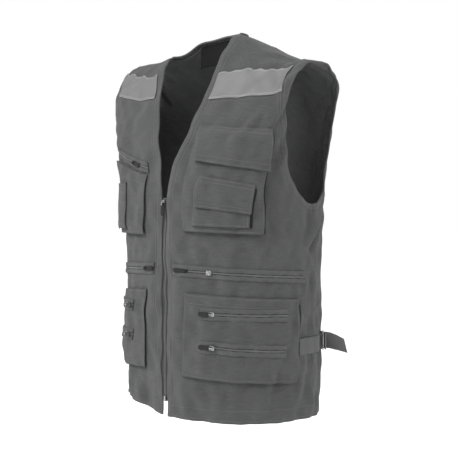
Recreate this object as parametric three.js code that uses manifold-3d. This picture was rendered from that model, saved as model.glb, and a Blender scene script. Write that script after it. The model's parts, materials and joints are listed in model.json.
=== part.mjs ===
// Utility work vest in its worn form, hollow and open at the neck, armholes, front and hem.
// Millimetres, +Z up. The front faces -Y and the wearer's left is +X.
// The origin lies midway between the two neck points, at about the height of the back neck edge.
// Every cloth piece lies on one body surface. A place on it is an angle round the body from the
// centre front, positive to the wearer's left, and a rise: 0 hem, 1 chest line, 2 shoulder ridge.
// A lift is a distance outwards from that surface.
import * as THREE from 'three';
import { mergeVertices } from 'three/addons/utils/BufferGeometryUtils.js';
import Module from 'manifold-3d';

const wasm = await Module();
wasm.setup();

// Main sizes of the garment
const LENGTH = 690; // neck point down to the hem
const CHEST_DROP = 300; // neck point down to the chest line
const CHEST_HALF = 191;
const FRONT_DEPTH = 164; // middle plane forward to the front
const BACK_DEPTH = 163;
const HEM_DROOP = 9; // the hem hangs this much lower at the back than at the front
const HEM_HITCH = 24; // and is drawn up this much at the wearer's right side
const SHOULDER_HALF = 226; // middle out to the shoulder tip
const SHOULDER_FALL = 50; // origin down to the left shoulder tip
const SHOULDER_SWING = 0.3; // the shoulder line runs back this much for each mm outwards
const NECK_HALF = 85;
const NECK_FORE = 50; // the neck points lie this far forward of the middle
const NECK_BACK = 25; // the back neck edge lies this far behind the neck points
const V_DEPTH = 293; // neck point down to the foot of the V
const ARMHOLE_DROP = 303; // neck point down to the underarm
const SIDE_TURN = THREE.MathUtils.degToRad(100); // where the side seam runs

// Cloth and the gaps between pieces
const CLOTH = 2;
const GAP = 0.3; // between pieces that meet edge to edge
const STACK_GAP = 0.8; // between wide pieces of cloth that lie on each other
const FRONT_BAND = 12;
const ARMHOLE_BAND = 11;
const BAND_THICK = 3.1;
const BAND_IN = -0.5; // a band's inner lift
const SEAT = CLOTH + STACK_GAP; // lift of a piece that is sewn on a panel

// Front zip
const EDGE_HALF = 6; // middle to the front edge of a panel
const CHAIN_HALF = 2;
const TAPE_WIDTH = 12;
const TAPE_THICK = 1.3;
const TAPE_OUT = BAND_IN - GAP; // the tapes lie just behind the bands
const CHAIN_THICK = 3.2;
const ZIP_FOOT = 26; // hem up to the foot of the zip
const STOP_LENGTH = 9;

// Pockets and what closes them
const POCKET_CLOTH = 1.7;
const FLAP_CLOTH = 2.2;
const STRIP_WIDTH = 14;
const STRIP_THICK = 1.2;
const TEETH_WIDTH = 4.4;
const TEETH_RISE = 0.8;

// Zip sliders and pulls
const SLIDER_LENGTH = 11;
const SLIDER_WIDTH = 8;
const SLIDER_THICK = 2.2;
const ARCH_LENGTH = 7.2;
const ARCH_HEIGHT = 4.2;
const ARCH_WIDTH = 2.2;
const ARCH_BAR = 1.2;
const PULL_LENGTH = 24;
const PULL_WIDTH = 8;
const PULL_THICK = 1.4;
const PULL_ROOM = 0.6; // room round the arch in the pull's eye

// Reflective tape and label
const REFLECT_HEIGHT = 46;
const REFLECT_THICK = 1;
const LABEL_WIDTH = 78;
const LABEL_HEIGHT = 42;
const LABEL_DROP = 7; // neck edge down to the label
const LABEL_THICK = 1;

// Side adjusters
const STRAP_WIDTH = 30;
const STRAP_THICK = 1.6;
const STRAP_HEIGHT = -564; // the strap's middle, from the neck point
const STRAP_START = 273; // arc from the centre front to the strap's sewn end
const TAIL_LENGTH = 56; // free end of the strap beyond its buckle
const TAIL_SWAY = 14; // the free end leans back by this much
const BUCKLE_TURN = THREE.MathUtils.degToRad(124);
const BUCKLE_PITCH = 9; // from bar to bar
const BUCKLE_BAR = 2.4;
const BUCKLE_LIFT = 7;
const STRAP_BEND = 3.2; // strap's middle round a bar's middle

// Cross sections of the body: shares of the depths and widths, square is fullness at the corners
const BODY_SECTIONS = [
  { up: 0.0, wide: 0.985, front: 0.985, back: 1.0, square: 0.08 },
  { up: 0.35, wide: 0.99, front: 1.0, back: 1.0, square: 0.08 },
  { up: 0.7, wide: 0.99, front: 1.0, back: 0.995, square: 0.09 },
  { up: 1.0, wide: 1.0, front: 1.0, back: 0.97, square: 0.12 },
];
const RIDGE_REACH = 1.07; // the shoulder surface closes this share beyond the shoulder tip
const RIDGE_SQUARE = 0.45;
const SHOULDER_SQUARE = 0.36;
const DOME_FRONT = -0.27; // flat slope from the chest to the neck at the front
const DOME_SIDE = 0.12; // full curve at the sides and back
const DOME_WIDEN = 4;
const EVEN_FALL = 0.6; // share of the fall that the cloth well below the shoulder line follows
const RIDGE_KEEN = 3; // how closely the rest keeps to the shoulder line

// Shoulder line as worn, with the right shoulder raised: across is the share of the half width,
// positive to the wearer's left, and up the share of the fall
const SHOULDER_LINE = [
  { across: -1.1, up: -0.44 },
  { across: -0.86, up: -0.38 },
  { across: -0.376, up: -0.36 },
  { across: -0.15, up: 0.1 },
  { across: 0, up: 0.2 },
  { across: 0.15, up: 0.24 },
  { across: 0.376, up: 0.16 },
  { across: 0.5, up: -0.06 },
  { across: 0.62, up: -0.36 },
  { across: 0.79, up: -0.8 },
  { across: 1, up: -1 },
  { across: 1.1, up: -1.08 },
];

// V edge: up is the share from the foot of the V to the neck point, out the share of its swing
const V_EDGE = [
  { up: 0, out: 0 },
  { up: 0.16, out: 0.15 },
  { up: 0.37, out: 0.49 },
  { up: 0.52, out: 0.65 },
  { up: 0.7, out: 0.81 },
  { up: 1, out: 1 },
];
// Armhole: up is the share from the underarm to the tip, and the others are the share of the turn
// from the shoulder tip round to the underarm: fore along the front, aft along the back at the
// wearer's left, and closer along the back at the right, where the cloth comes further forward
const ARMHOLE = [
  { up: 0.0, fore: 1.0, aft: 1.0, closer: 1.0 },
  { up: 0.01, fore: 0.86, aft: 0.68, closer: 0.97 },
  { up: 0.03, fore: 0.75, aft: 0.42, closer: 0.95 },
  { up: 0.08, fore: 0.6, aft: 0.18, closer: 0.94 },
  { up: 0.16, fore: 0.46, aft: 0.04, closer: 0.94 },
  { up: 0.3, fore: 0.33, aft: 0.03, closer: 0.92 },
  { up: 0.45, fore: 0.15, aft: 0.08, closer: 0.82 },
  { up: 0.6, fore: 0.02, aft: 0.15, closer: 0.62 },
  { up: 0.8, fore: 0.0, aft: 0.1, closer: 0.28 },
  { up: 1.0, fore: 0.0, aft: 0.0, closer: 0.0 },
];
// Back neck: across is the share from the neck point to the centre back, drop of the full dip
const BACK_NECK = [
  { across: 0, drop: 0 },
  { across: 0.12, drop: 0.4 },
  { across: 0.4, drop: 0.8 },
  { across: 0.7, drop: 0.97 },
  { across: 1, drop: 1 },
];
// Main folds of the cloth: the turn of the ridge and its half width in degrees, the rises
// between which it runs, and how far it stands out
const FOLDS = [
  { turn: -24, width: 9, low: -0.2, high: 0.16, out: 5 },
  { turn: -14, width: 8, low: -0.2, high: 0.16, out: -4 },
  { turn: 103, width: 12, low: -0.2, high: 0.26, out: 5 },
  { turn: 128, width: 14, low: -0.2, high: 0.26, out: -4 },
  { turn: -108, width: 13, low: -0.2, high: 0.26, out: 4 },
  { turn: 166, width: 20, low: -0.2, high: 0.9, out: -5 },
  { turn: -164, width: 20, low: -0.2, high: 0.9, out: -5 },
  { turn: 180, width: 16, low: -0.1, high: 0.8, out: 3 },
];
// How full a pocket is: up is the share of its height
const POCKET_FILL = [
  { up: 0, full: 0 },
  { up: 0.05, full: 0.86 },
  { up: 0.2, full: 1 },
  { up: 0.5, full: 0.8 },
  { up: 0.8, full: 0.5 },
  { up: 0.95, full: 0.25 },
  { up: 1, full: 0 },
];
const EDGE_SHARE = 0.05;
const COLUMN_WIDTH = 28;
const POCKET_UP = [0, 0.05, 0.2, 0.35, 0.5, 0.65, 0.8, 0.95, 1];
const FLAP_UP = [0, 0.15, 0.35, 0.55, 0.72, 0.86, 1];

// Pocket and zip places: arc is measured along the cloth from the centre front, drop from the
// neck point down. The inner edge is the one towards the centre front.
const POCKETS = {
  chest_pocket_left: {
    inner: 60, innerLow: 48, outer: 214, outerLow: 193,
    top: 186, topOut: 192, foot: 352, footOut: 358, bulge: 10,
  },
  small_pocket_left: {
    inner: 77, innerLow: 72, outer: 172, outerLow: 167,
    top: 268, topOut: 277, foot: 342, footOut: 346, bulge: 3.5,
  },
  lower_pocket_left: {
    inner: 51, innerLow: 45, outer: 271, outerLow: 262,
    top: 463, topOut: 476, foot: 612, footOut: 626, bulge: 8,
  },
  chest_pocket_right: {
    inner: 46, innerLow: 48, outer: 156, outerLow: 160,
    top: 250, topOut: 218, foot: 360, footOut: 356, bulge: 9,
  },
  pen_pocket_right: {
    inner: 103, innerLow: 98, outer: 143, outerLow: 141,
    top: 262, topOut: 262, foot: 350, footOut: 346, bulge: 3,
  },
  lower_pocket_right: {
    inner: 48, innerLow: 46, outer: 271, outerLow: 262,
    top: 463, topOut: 482, foot: 614, footOut: 640, bulge: 6,
  },
};
const FLAPS = {
  chest_flap_left: {
    inner: 67, innerLow: 74, outer: 209, outerLow: 202,
    top: 162, topOut: 171, foot: 230, footOut: 245, over: 'chest_pocket_left',
  },
  small_flap_left: {
    inner: 86, innerLow: 80, outer: 178, outerLow: 169,
    top: 254, topOut: 268, foot: 309, footOut: 322, over: 'small_pocket_left',
  },
};
const ZIPS = {
  waist_zip_left: { from: 22, to: 288, drop: 422, dropOut: 437, side: 1 },
  waist_zip_right: { from: 22, to: 288, drop: 422, dropOut: 437, side: -1 },
  upper_zip_left: { from: 84, to: 238, drop: 498, dropOut: 503, side: 1, on: 'lower_pocket_left' },
  lower_zip_left: { from: 84, to: 234, drop: 556, dropOut: 567, side: 1, on: 'lower_pocket_left' },
  upper_zip_right: { from: 84, to: 238, drop: 498, dropOut: 503, side: -1, on: 'lower_pocket_right' },
  lower_zip_right: { from: 84, to: 234, drop: 556, dropOut: 567, side: -1, on: 'lower_pocket_right' },
  chest_zip_right: { from: 46, to: 154, drop: 237, dropOut: 204, side: -1 },
};
// Sliders: arc of each along its zip, and whether it carries a pull
const SLIDERS = {
  waist_slider_left: { zip: 'waist_zip_left', arc: 49, pull: 'waist_pull_left' },
  second_slider_left: { zip: 'waist_zip_left', arc: 91 },
  waist_slider_right: { zip: 'waist_zip_right', arc: 42, pull: 'waist_pull_right' },
  upper_slider_left: { zip: 'upper_zip_left', arc: 103, pull: 'upper_pull_left' },
  lower_slider_left: { zip: 'lower_zip_left', arc: 104, pull: 'lower_pull_left' },
  upper_slider_right: { zip: 'upper_zip_right', arc: 103, pull: 'upper_pull_right' },
  lower_slider_right: { zip: 'lower_zip_right', arc: 104, pull: 'lower_pull_right' },
  chest_slider_right: { zip: 'chest_zip_right', arc: 86, pull: 'chest_pull_right' },
};
// Reflective tapes: origin down to the upper edge at the inner end, and how much higher the
// outer end lies
const REFLECTIVE = {
  reflective_left: { side: 1, top: 69, lean: 6 },
  reflective_right: { side: -1, top: 57, lean: 18 },
};
const FRONT_SLIDER_DROP = 302;
const SIDE_SLIDER = { clear: 12, drop: 330 }; // clear of the tall chest pocket
const SIDE_PULL_TILT = THREE.MathUtils.degToRad(28);

// Finishes
const FINISH = {
  cloth: { color: 0x606062, roughness: 0.92, metalness: 0 },
  band: { color: 0x686869, roughness: 0.88, metalness: 0 },
  reflective: { color: 0x8e8e90, roughness: 0.5, metalness: 0 },
  label: { color: 0x0c0c0d, roughness: 0.75, metalness: 0 },
  teeth: { color: 0x4b4b4d, roughness: 0.6, metalness: 0 },
  silver: { color: 0xb4b4b6, roughness: 0.3, metalness: 1 },
  pull: { color: 0x2c2c2e, roughness: 0.5, metalness: 0 },
};

// Value of a table's column between its rows, on a smooth curve through them
function smoothTable(table, key, column, at) {
  let low = 0;
  while (low < table.length - 2 && at > table[low + 1][key]) low += 1;
  const slope = (row) => {
    const before = table[Math.max(row - 1, 0)];
    const after = table[Math.min(row + 1, table.length - 1)];
    return (after[column] - before[column]) / (after[key] - before[key]);
  };
  const width = table[low + 1][key] - table[low][key];
  const t = THREE.MathUtils.clamp((at - table[low][key]) / width, 0, 1);
  const start = (1 + 2 * t) * (1 - t) ** 2 * table[low][column] + t * (1 - t) ** 2 * width * slope(low);
  const end = t * t * (3 - 2 * t) * table[low + 1][column] - t * t * (1 - t) * width * slope(low + 1);
  return start + end;
}

// Point of the body surface
function bodyPoint(angle, rise) {
  const up = THREE.MathUtils.clamp(rise, 0, 1);
  const section = (column) => smoothTable(BODY_SECTIONS, 'up', column, up);
  const bend = (Math.max(rise - 1, 0) * Math.PI) / 2;
  const sine = Math.sin(angle);
  const cosine = Math.cos(angle);
  const full = DOME_SIDE + (DOME_FRONT - DOME_SIDE) * Math.max(cosine, 0) ** 2;
  const along = Math.cos(bend) * (1 + full * Math.sin(bend) ** 2);
  const above = Math.sin(bend) * (1 + full * Math.cos(bend) ** 2);
  const square = THREE.MathUtils.lerp(section('square'), SHOULDER_SQUARE, Math.sin(bend));
  const depth = cosine > 0 ? FRONT_DEPTH * section('front') : BACK_DEPTH * section('back');
  const x = CHEST_HALF * section('wide') * sine * (1 + square * cosine ** 2);
  const y = -depth * cosine * (1 + square * sine ** 2);
  const droop = HEM_DROOP * Math.abs(Math.sin(angle / 2)) * (1 - up) ** 2;
  const right = Math.max(-sine, 0);
  const hitch = HEM_HITCH * right * (2 - right) * (1 - up) ** 2;
  const z = -LENGTH + (LENGTH - CHEST_DROP) * up - droop + hitch;
  const ridgeX = SHOULDER_HALF * RIDGE_REACH * sine * (1 + RIDGE_SQUARE * cosine ** 2);
  const ridgeY = -NECK_FORE + SHOULDER_SWING * Math.max(Math.abs(ridgeX) - NECK_HALF, 0);
  if (rise <= 1) return new THREE.Vector3(x, y, z);
  const ridgeZ = SHOULDER_FALL * smoothTable(SHOULDER_LINE, 'across', 'up', ridgeX / SHOULDER_HALF);
  const levelZ = -SHOULDER_FALL * EVEN_FALL * Math.abs(ridgeX / SHOULDER_HALF);
  const spread = Math.max(along, 0) ** DOME_WIDEN;
  return new THREE.Vector3(
    ridgeX + (x - ridgeX) * spread,
    ridgeY + (y - ridgeY) * along,
    z + (levelZ - z) * above + (ridgeZ - levelZ) * Math.max(above, 0) ** RIDGE_KEEN,
  );
}

// Steps of the surface for a unit of angle and of rise
function bodySteps(angle, rise) {
  const reach = 1e-4;
  const turn = bodyPoint(angle + reach, rise).sub(bodyPoint(angle - reach, rise)).divideScalar(2 * reach);
  const low = Math.min(rise, 2 - reach) - reach;
  const climb = bodyPoint(angle, low + 2 * reach).sub(bodyPoint(angle, low)).divideScalar(2 * reach);
  return { turn, climb, normal: turn.clone().cross(climb).normalize() };
}

// How far the folds push the cloth out of its smooth shape
function drape(angle, rise) {
  let out = 0;
  for (const fold of FOLDS) {
    const away = THREE.MathUtils.euclideanModulo(angle * THREE.MathUtils.RAD2DEG - fold.turn + 180, 360) - 180;
    if (Math.abs(away) >= fold.width) continue;
    const across = Math.cos((Math.PI / 2) * (away / fold.width)) ** 2;
    const up = (rise - fold.low) / (fold.high - fold.low);
    const fade = THREE.MathUtils.smoothstep(1 - up, 0, 0.5) * THREE.MathUtils.smoothstep(up, 0, 0.2);
    out += fold.out * across * fade;
  }
  return out;
}

// Point of the cloth at a lift
function clothPoint(angle, rise, lift) {
  const { normal } = bodySteps(angle, rise);
  return bodyPoint(angle, rise).addScaledVector(normal, lift + drape(angle, rise));
}

// Unknown between two limits at which a rising measure meets its target
function meet(low, high, target, measure) {
  let [below, above] = [low, high];
  for (let pass = 0; pass < 50; pass += 1) {
    const middle = (below + above) / 2;
    if (measure(middle) < target) below = middle;
    else above = middle;
  }
  return (below + above) / 2;
}
const turnAtHalf = (rise, half) => meet(0, Math.PI / 2, half, (angle) => bodyPoint(angle, rise).x);
const riseAtHeight = (angle, height) => meet(0, 2, height, (rise) => bodyPoint(angle, rise).z);

// Length of cloth from the centre front to an angle, along one rise
function arcTo(angle, rise) {
  const count = 36;
  let length = 0;
  for (let step = 0; step < count; step += 1) {
    const start = bodyPoint((angle * step) / count, rise);
    length += start.distanceTo(bodyPoint((angle * (step + 1)) / count, rise));
  }
  return length;
}

// Place on the surface at an arc from the centre front and a drop below the neck point
function placeAt(arc, drop) {
  let rise = 1;
  let angle = 0;
  for (let pass = 0; pass < 12; pass += 1) {
    const current = rise;
    angle = meet(0, SIDE_TURN * 1.6, arc, (turn) => arcTo(turn, current));
    rise = riseAtHeight(angle, -drop);
  }
  return { angle, rise };
}
const mirrored = (place, side) => ({ angle: place.angle * side, rise: place.rise });

// Edge moved into the panel by a distance. The hand says on which side of the edge the panel
// lies, and the ends of the edge run along the steps that are named.
function insetEdge(edge, distance, hand, first, last) {
  return edge.map((place, index) => {
    const { turn, climb, normal } = bodySteps(place.angle, place.rise);
    const before = edge[Math.max(index - 1, 0)];
    const after = edge[Math.min(index + 1, edge.length - 1)];
    const along = bodyPoint(after.angle, after.rise).sub(bodyPoint(before.angle, before.rise));
    const end = (index === 0 && first) || (index === edge.length - 1 && last);
    if (end) {
      const step = end === 'turn' ? turn : climb;
      along.copy(step).multiplyScalar(Math.sign(along.dot(step)));
    }
    const inward = along.clone().cross(normal).normalize().multiplyScalar(hand * distance);
    const tt = turn.dot(turn);
    const tc = turn.dot(climb);
    const cc = climb.dot(climb);
    const ti = turn.dot(inward);
    const ci = climb.dot(inward);
    const area = tt * cc - tc * tc;
    return {
      angle: place.angle + (ti * cc - ci * tc) / area,
      rise: place.rise + (ci * tt - ti * tc) / area,
    };
  });
}

// Closed body from triangles, turned so that its faces point out
function closedBody(vertices, faces) {
  const corner = (index) => new THREE.Vector3(...vertices[index]);
  let volume = 0;
  for (const [a, b, c] of faces) volume += corner(a).dot(corner(b).cross(corner(c)));
  const index = faces.flatMap(([a, b, c]) => (volume > 0 ? [a, b, c] : [a, c, b]));
  const geometry = new THREE.BufferGeometry();
  geometry.setAttribute('position', new THREE.Float32BufferAttribute(vertices.flat(), 3));
  geometry.setIndex(index);
  geometry.computeVertexNormals();
  return geometry;
}

// Sheet of cloth over a grid of places: each place has an inner and an outer lift.
// A ring joins its last row to its first.
function sheet(grid, ring = false) {
  const columns = grid[0].length;
  const size = grid.length * columns;
  const vertices = [];
  for (const side of ['inner', 'outer']) {
    for (const place of grid.flat()) {
      vertices.push(clothPoint(place.angle, place.rise, place[side]).toArray());
    }
  }
  const faces = [];
  const quad = (a, b, c, d) => faces.push([a, b, c], [a, c, d]);
  const reach = (a, b) => Math.hypot(...vertices[a].map((value, axis) => value - vertices[b][axis]));
  const spans = ring ? grid.length : grid.length - 1;
  for (let row = 0; row < spans; row += 1) {
    const here = row * columns;
    const next = ((row + 1) % grid.length) * columns;
    for (let column = 0; column < columns - 1; column += 1) {
      const [a, b, c, d] = [here + column, here + column + 1, next + column + 1, next + column];
      const [e, f, g, h] = [a, b, c, d].map((corner) => corner + size);
      if (reach(a, c) < reach(b, d)) {
        quad(a, b, c, d);
        quad(e, h, g, f);
      } else {
        quad(b, c, d, a);
        quad(f, e, h, g);
      }
    }
    const end = columns - 1;
    quad(here, next, size + next, size + here);
    quad(here + end, size + here + end, size + next + end, next + end);
  }
  if (!ring) {
    const top = (grid.length - 1) * columns;
    for (let column = 0; column < columns - 1; column += 1) {
      quad(column, size + column, size + column + 1, column + 1);
      quad(top + column, top + column + 1, size + top + column + 1, size + top + column);
    }
  }
  return closedBody(vertices, faces);
}
const lifted = (places, inner, outer) => places.map((place) => ({ ...place, inner, outer }));

const vest = new THREE.Group();
vest.name = 'utility_work_vest';
function add(name, geometry, finish) {
  const mesh = new THREE.Mesh(geometry, new THREE.MeshStandardMaterial(FINISH[finish]));
  mesh.name = name;
  vest.add(mesh);
  return mesh;
}

const evenShares = (count) => Array.from({ length: count + 1 }, (_, index) => index / count);

// Edges of the wearer's left half, with the same stations for a band and the panel beside it
const vRise = riseAtHeight(0, -V_DEPTH);
const underRise = riseAtHeight(SIDE_TURN, -ARMHOLE_DROP);
const neckTurn = turnAtHalf(2, NECK_HALF);
const tipTurn = turnAtHalf(2, SHOULDER_HALF);
const ARM_STATIONS = 15;
const LOWER_ROWS = [0, 0.08, 0.16, 0.27, 0.4, 0.55, 0.7, 0.86];

function armholeEdge(column, tip) {
  const knots = ARMHOLE.map((row) => new THREE.Vector3(
    tip + (SIDE_TURN - tip) * row[column],
    underRise + (2 - underRise) * row.up,
    0,
  ));
  const curve = new THREE.CatmullRomCurve3(knots, false, 'centripetal');
  return curve.getSpacedPoints(ARM_STATIONS).map((point) => ({ angle: point.x, rise: point.y }));
}
const armFront = armholeEdge('fore', tipTurn);
const armFrontBand = insetEdge(armFront, ARMHOLE_BAND, -1, 'turn', 'climb');
const armFrontPanel = insetEdge(armFront, ARMHOLE_BAND + GAP, -1, 'turn', 'climb');
function backArm(column) {
  const edge = armholeEdge(column, Math.PI - tipTurn);
  return {
    edge,
    band: insetEdge(edge, ARMHOLE_BAND, 1, 'turn', 'climb'),
    panel: insetEdge(edge, ARMHOLE_BAND + GAP, 1, 'turn', 'climb'),
  };
}
const leftArm = backArm('aft');
const rightArm = backArm('closer');

// Seams are trimmed by half a gap along the shoulder and along the side
const ridgeTrim = (angle) => 2 - GAP / 2 / bodySteps(angle, 2).climb.length();
const atRidge = (place) => ({ angle: place.angle, rise: ridgeTrim(place.angle) });
const endAtRidge = (places) => [...places.slice(0, -1), atRidge(places.at(-1))];
const sideTrim = GAP / 2 / CHEST_HALF;

// Front edge: straight beside the zip, then the V up to the neck point
const underPanelRise = armFrontPanel[0].rise;
const lowerRises = LOWER_ROWS.map((share) => share * underPanelRise);
const climbShares = evenShares(ARM_STATIONS);
const upperRises = climbShares.map((share) => THREE.MathUtils.lerp(underPanelRise, 2, share));
const frontRises = [...lowerRises, ...upperRises];
const frontEdge = frontRises.map((rise) => {
  if (rise <= vRise) return { angle: turnAtHalf(rise, EDGE_HALF), rise };
  const out = smoothTable(V_EDGE, 'up', 'out', (rise - vRise) / (2 - vRise));
  return { angle: THREE.MathUtils.lerp(turnAtHalf(vRise, EDGE_HALF), neckTurn, out), rise };
});
const frontBandEdge = endAtRidge(insetEdge(frontEdge, FRONT_BAND, 1, null, 'climb'));
const frontPanelEdge = endAtRidge(insetEdge(frontEdge, FRONT_BAND + GAP, 1, null, 'climb'));

// Front panels
const FRONT_COLUMNS = 12;
const frontSide = [
  ...lowerRises.map((rise) => ({ angle: SIDE_TURN - sideTrim, rise })),
  { angle: SIDE_TURN - sideTrim, rise: underPanelRise },
  ...endAtRidge(armFrontPanel).slice(1),
];
function betweenPlaces(start, end, shares) {
  return shares.map((share) => ({
    angle: THREE.MathUtils.lerp(start.angle, end.angle, share),
    rise: THREE.MathUtils.lerp(start.rise, end.rise, share),
  }));
}
for (const [name, side] of [['front_left', 1], ['front_right', -1]]) {
  const grid = frontPanelEdge.map((place, row) => {
    const start = row === 0 ? { ...place, rise: 0 } : place;
    const across = betweenPlaces(start, frontSide[row], evenShares(FRONT_COLUMNS));
    return lifted(across.map((spot) => mirrored(spot, side)), 0, CLOTH);
  });
  add(name, sheet(grid), 'cloth');
}

// Front bands: bound edges from the hem to the shoulder
for (const [name, side] of [['front_band_left', 1], ['front_band_right', -1]]) {
  const grid = endAtRidge(frontEdge).map((place, row) => {
    const inset = row === 0 ? { ...frontBandEdge[row], rise: 0 } : frontBandEdge[row];
    return lifted([mirrored(place, side), mirrored(inset, side)], BAND_IN, BAND_IN + BAND_THICK);
  });
  add(name, sheet(grid), 'band');
}

// Back neck edge, from the wearer's left neck point to the centre back
const backFall = meet(0, 1, NECK_BACK - NECK_FORE, (fall) => bodyPoint(Math.PI, 2 - fall).y);
const NECK_STATIONS = 6;
const neckBackCurve = new THREE.CatmullRomCurve3(BACK_NECK.map((row) => new THREE.Vector3(
  Math.PI - neckTurn * (1 - row.across),
  2 - backFall * row.drop,
  0,
)), false, 'centripetal');
const neckBack = neckBackCurve.getSpacedPoints(NECK_STATIONS).map((point) => ({ angle: point.x, rise: point.y }));
// Its inset edges start where those of the front bands end on the shoulder line
const behindFront = (edge) => ({ angle: Math.PI - edge.at(-1).angle, rise: 2 });
const neckInset = (distance) => insetEdge(neckBack, distance, 1, 'climb', 'turn').slice(1);
const neckBackBand = [behindFront(frontBandEdge), ...neckInset(FRONT_BAND)];
const neckBackPanel = [behindFront(frontPanelEdge), ...neckInset(FRONT_BAND + GAP)];
const startAtRidge = (places) => [atRidge(places[0]), ...places.slice(1)];
const wholeBack = (places) => [
  ...places,
  ...places.slice(0, -1).reverse().map((place) => ({ angle: 2 * Math.PI - place.angle, rise: place.rise })),
];

// Bound back neck edge
const neckOuter = wholeBack(startAtRidge(neckBack));
const neckInner = wholeBack(startAtRidge(neckBackBand));
add('neck_band', sheet(neckOuter.map((place, index) => (
  lifted([place, neckInner[index]], BAND_IN, BAND_IN + BAND_THICK)
))), 'band');

// Back panel: its columns run up to the shoulder seams and the neck edge
const SHOULDER_COLUMNS = 4;
const backTip = atRidge(leftArm.panel.at(-1));
const neckStart = atRidge(neckBackPanel[0]);
const backTop = wholeBack([
  ...betweenPlaces(backTip, neckStart, evenShares(SHOULDER_COLUMNS)).slice(0, -1).map(atRidge),
  ...startAtRidge(neckBackPanel),
]);
const backSide = (panel) => [
  ...lowerRises.map((rise) => ({ angle: SIDE_TURN + sideTrim, rise })),
  { angle: SIDE_TURN + sideTrim, rise: underPanelRise },
  ...endAtRidge(panel).slice(1),
];
const backLeft = backSide(leftArm.panel);
const backRight = backSide(rightArm.panel);
const backColumns = backTop.map((place) => (place.angle - backTip.angle) / (2 * (Math.PI - backTip.angle)));
// Its rows climb with the armhole at the sides and evenly at the centre back
const backGrid = backLeft.map((left, row) => backTop.map((top, column) => {
  const side = backColumns[column] < 0.5 ? left : backRight[row];
  const sideClimb = Math.max(side.rise - underPanelRise, 0) / (backTip.rise - underPanelRise);
  const evenClimb = climbShares[Math.max(row - lowerRises.length, 0)];
  const inward = 1 - Math.abs(2 * backColumns[column] - 1);
  const besideArm = side.rise + sideClimb * (top.rise - backTip.rise);
  const atCentre = side.rise < underPanelRise ? side.rise : THREE.MathUtils.lerp(underPanelRise, top.rise, evenClimb);
  const rise = THREE.MathUtils.lerp(besideArm, atCentre, inward);
  const angle = THREE.MathUtils.lerp(left.angle, 2 * Math.PI - backRight[row].angle, backColumns[column]);
  return { angle, rise, inner: 0, outer: CLOTH };
}));
add('back', sheet(backGrid), 'cloth');

// Bound armholes, each one ring over the shoulder seam
for (const [name, side, arm] of [['armhole_band_left', 1, leftArm], ['armhole_band_right', -1, rightArm]]) {
  const overShoulder = (fore, aft) => [
    ...fore.slice(0, -1), { ...fore.at(-1), rise: 2 }, ...aft.slice(1, -1).reverse(),
  ];
  const edge = overShoulder(armFront, arm.edge);
  const inset = overShoulder(armFrontBand, arm.band);
  const grid = edge.map((place, index) => (
    lifted([mirrored(place, side), mirrored(inset[index], side)], BAND_IN, BAND_IN + BAND_THICK)
  ));
  add(name, sheet(grid, true), 'band');
}

// Front zip: two tapes behind the bands and the closed chain between them
const FRONT_ZIP_ROWS = 9;
const zipFootRise = riseAtHeight(0, ZIP_FOOT - LENGTH);
const zipRise = (share) => THREE.MathUtils.lerp(zipFootRise, vRise, share);
function uprightStrip(start, end, inner, outer, rises) {
  return sheet(rises.map((rise) => lifted([
    { angle: Math.sign(start) * turnAtHalf(rise, Math.abs(start)), rise },
    { angle: Math.sign(end) * turnAtHalf(rise, Math.abs(end)), rise },
  ], inner, outer)));
}
const zipRises = evenShares(FRONT_ZIP_ROWS).map(zipRise);
for (const [name, side] of [['zip_tape_left', 1], ['zip_tape_right', -1]]) {
  const start = side * (CHAIN_HALF + GAP);
  const end = start + side * TAPE_WIDTH;
  add(name, uprightStrip(start, end, TAPE_OUT - TAPE_THICK, TAPE_OUT, zipRises), 'band');
}
const stopTop = riseAtHeight(0, ZIP_FOOT + STOP_LENGTH - LENGTH);
const chainRises = evenShares(FRONT_ZIP_ROWS).map((share) => (
  THREE.MathUtils.lerp(stopTop + GAP / (LENGTH - CHEST_DROP), vRise, share)
));
const chainIn = TAPE_OUT - TAPE_THICK;
add('zip_chain', uprightStrip(-CHAIN_HALF, CHAIN_HALF, chainIn, chainIn + CHAIN_THICK, chainRises), 'teeth');
add('zip_stop', uprightStrip(-CHAIN_HALF, CHAIN_HALF, chainIn, chainIn + CHAIN_THICK + 1, [zipFootRise, stopTop]), 'silver');

// Places between the four corners of a pocket or flap: across from the inner edge, up from the foot
function patch(size, side) {
  const corner = (arc, drop) => mirrored(placeAt(arc, drop), side);
  return {
    topIn: corner(size.inner, size.top),
    topOut: corner(size.outer, size.topOut),
    footIn: corner(size.innerLow, size.foot),
    footOut: corner(size.outerLow, size.footOut),
  };
}
function patchPlace(corners, across, up) {
  const [foot] = betweenPlaces(corners.footIn, corners.footOut, [across]);
  const [top] = betweenPlaces(corners.topIn, corners.topOut, [across]);
  return betweenPlaces(foot, top, [up])[0];
}
// The across and up of a place on a patch
function placeOnPatch(corners, place) {
  let across = 0.5;
  let up = 0.5;
  for (let pass = 0; pass < 20; pass += 1) {
    const [foot] = betweenPlaces(corners.footIn, corners.footOut, [across]);
    const [top] = betweenPlaces(corners.topIn, corners.topOut, [across]);
    up = (place.rise - foot.rise) / (top.rise - foot.rise);
    const [inner] = betweenPlaces(corners.footIn, corners.topIn, [up]);
    const [outer] = betweenPlaces(corners.footOut, corners.topOut, [up]);
    across = (place.angle - inner.angle) / (outer.angle - inner.angle);
  }
  return { across, up };
}

// A pocket stands out from what it is sewn on by its bulge, fullest near its foot
const pockets = {};
function pocketLift(pocket, across, up) {
  const full = smoothTable(POCKET_FILL, 'up', 'full', up);
  const edge = 1 - Math.abs(2 * across - 1) ** 9;
  return pocket.bulge * full * edge;
}
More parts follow.
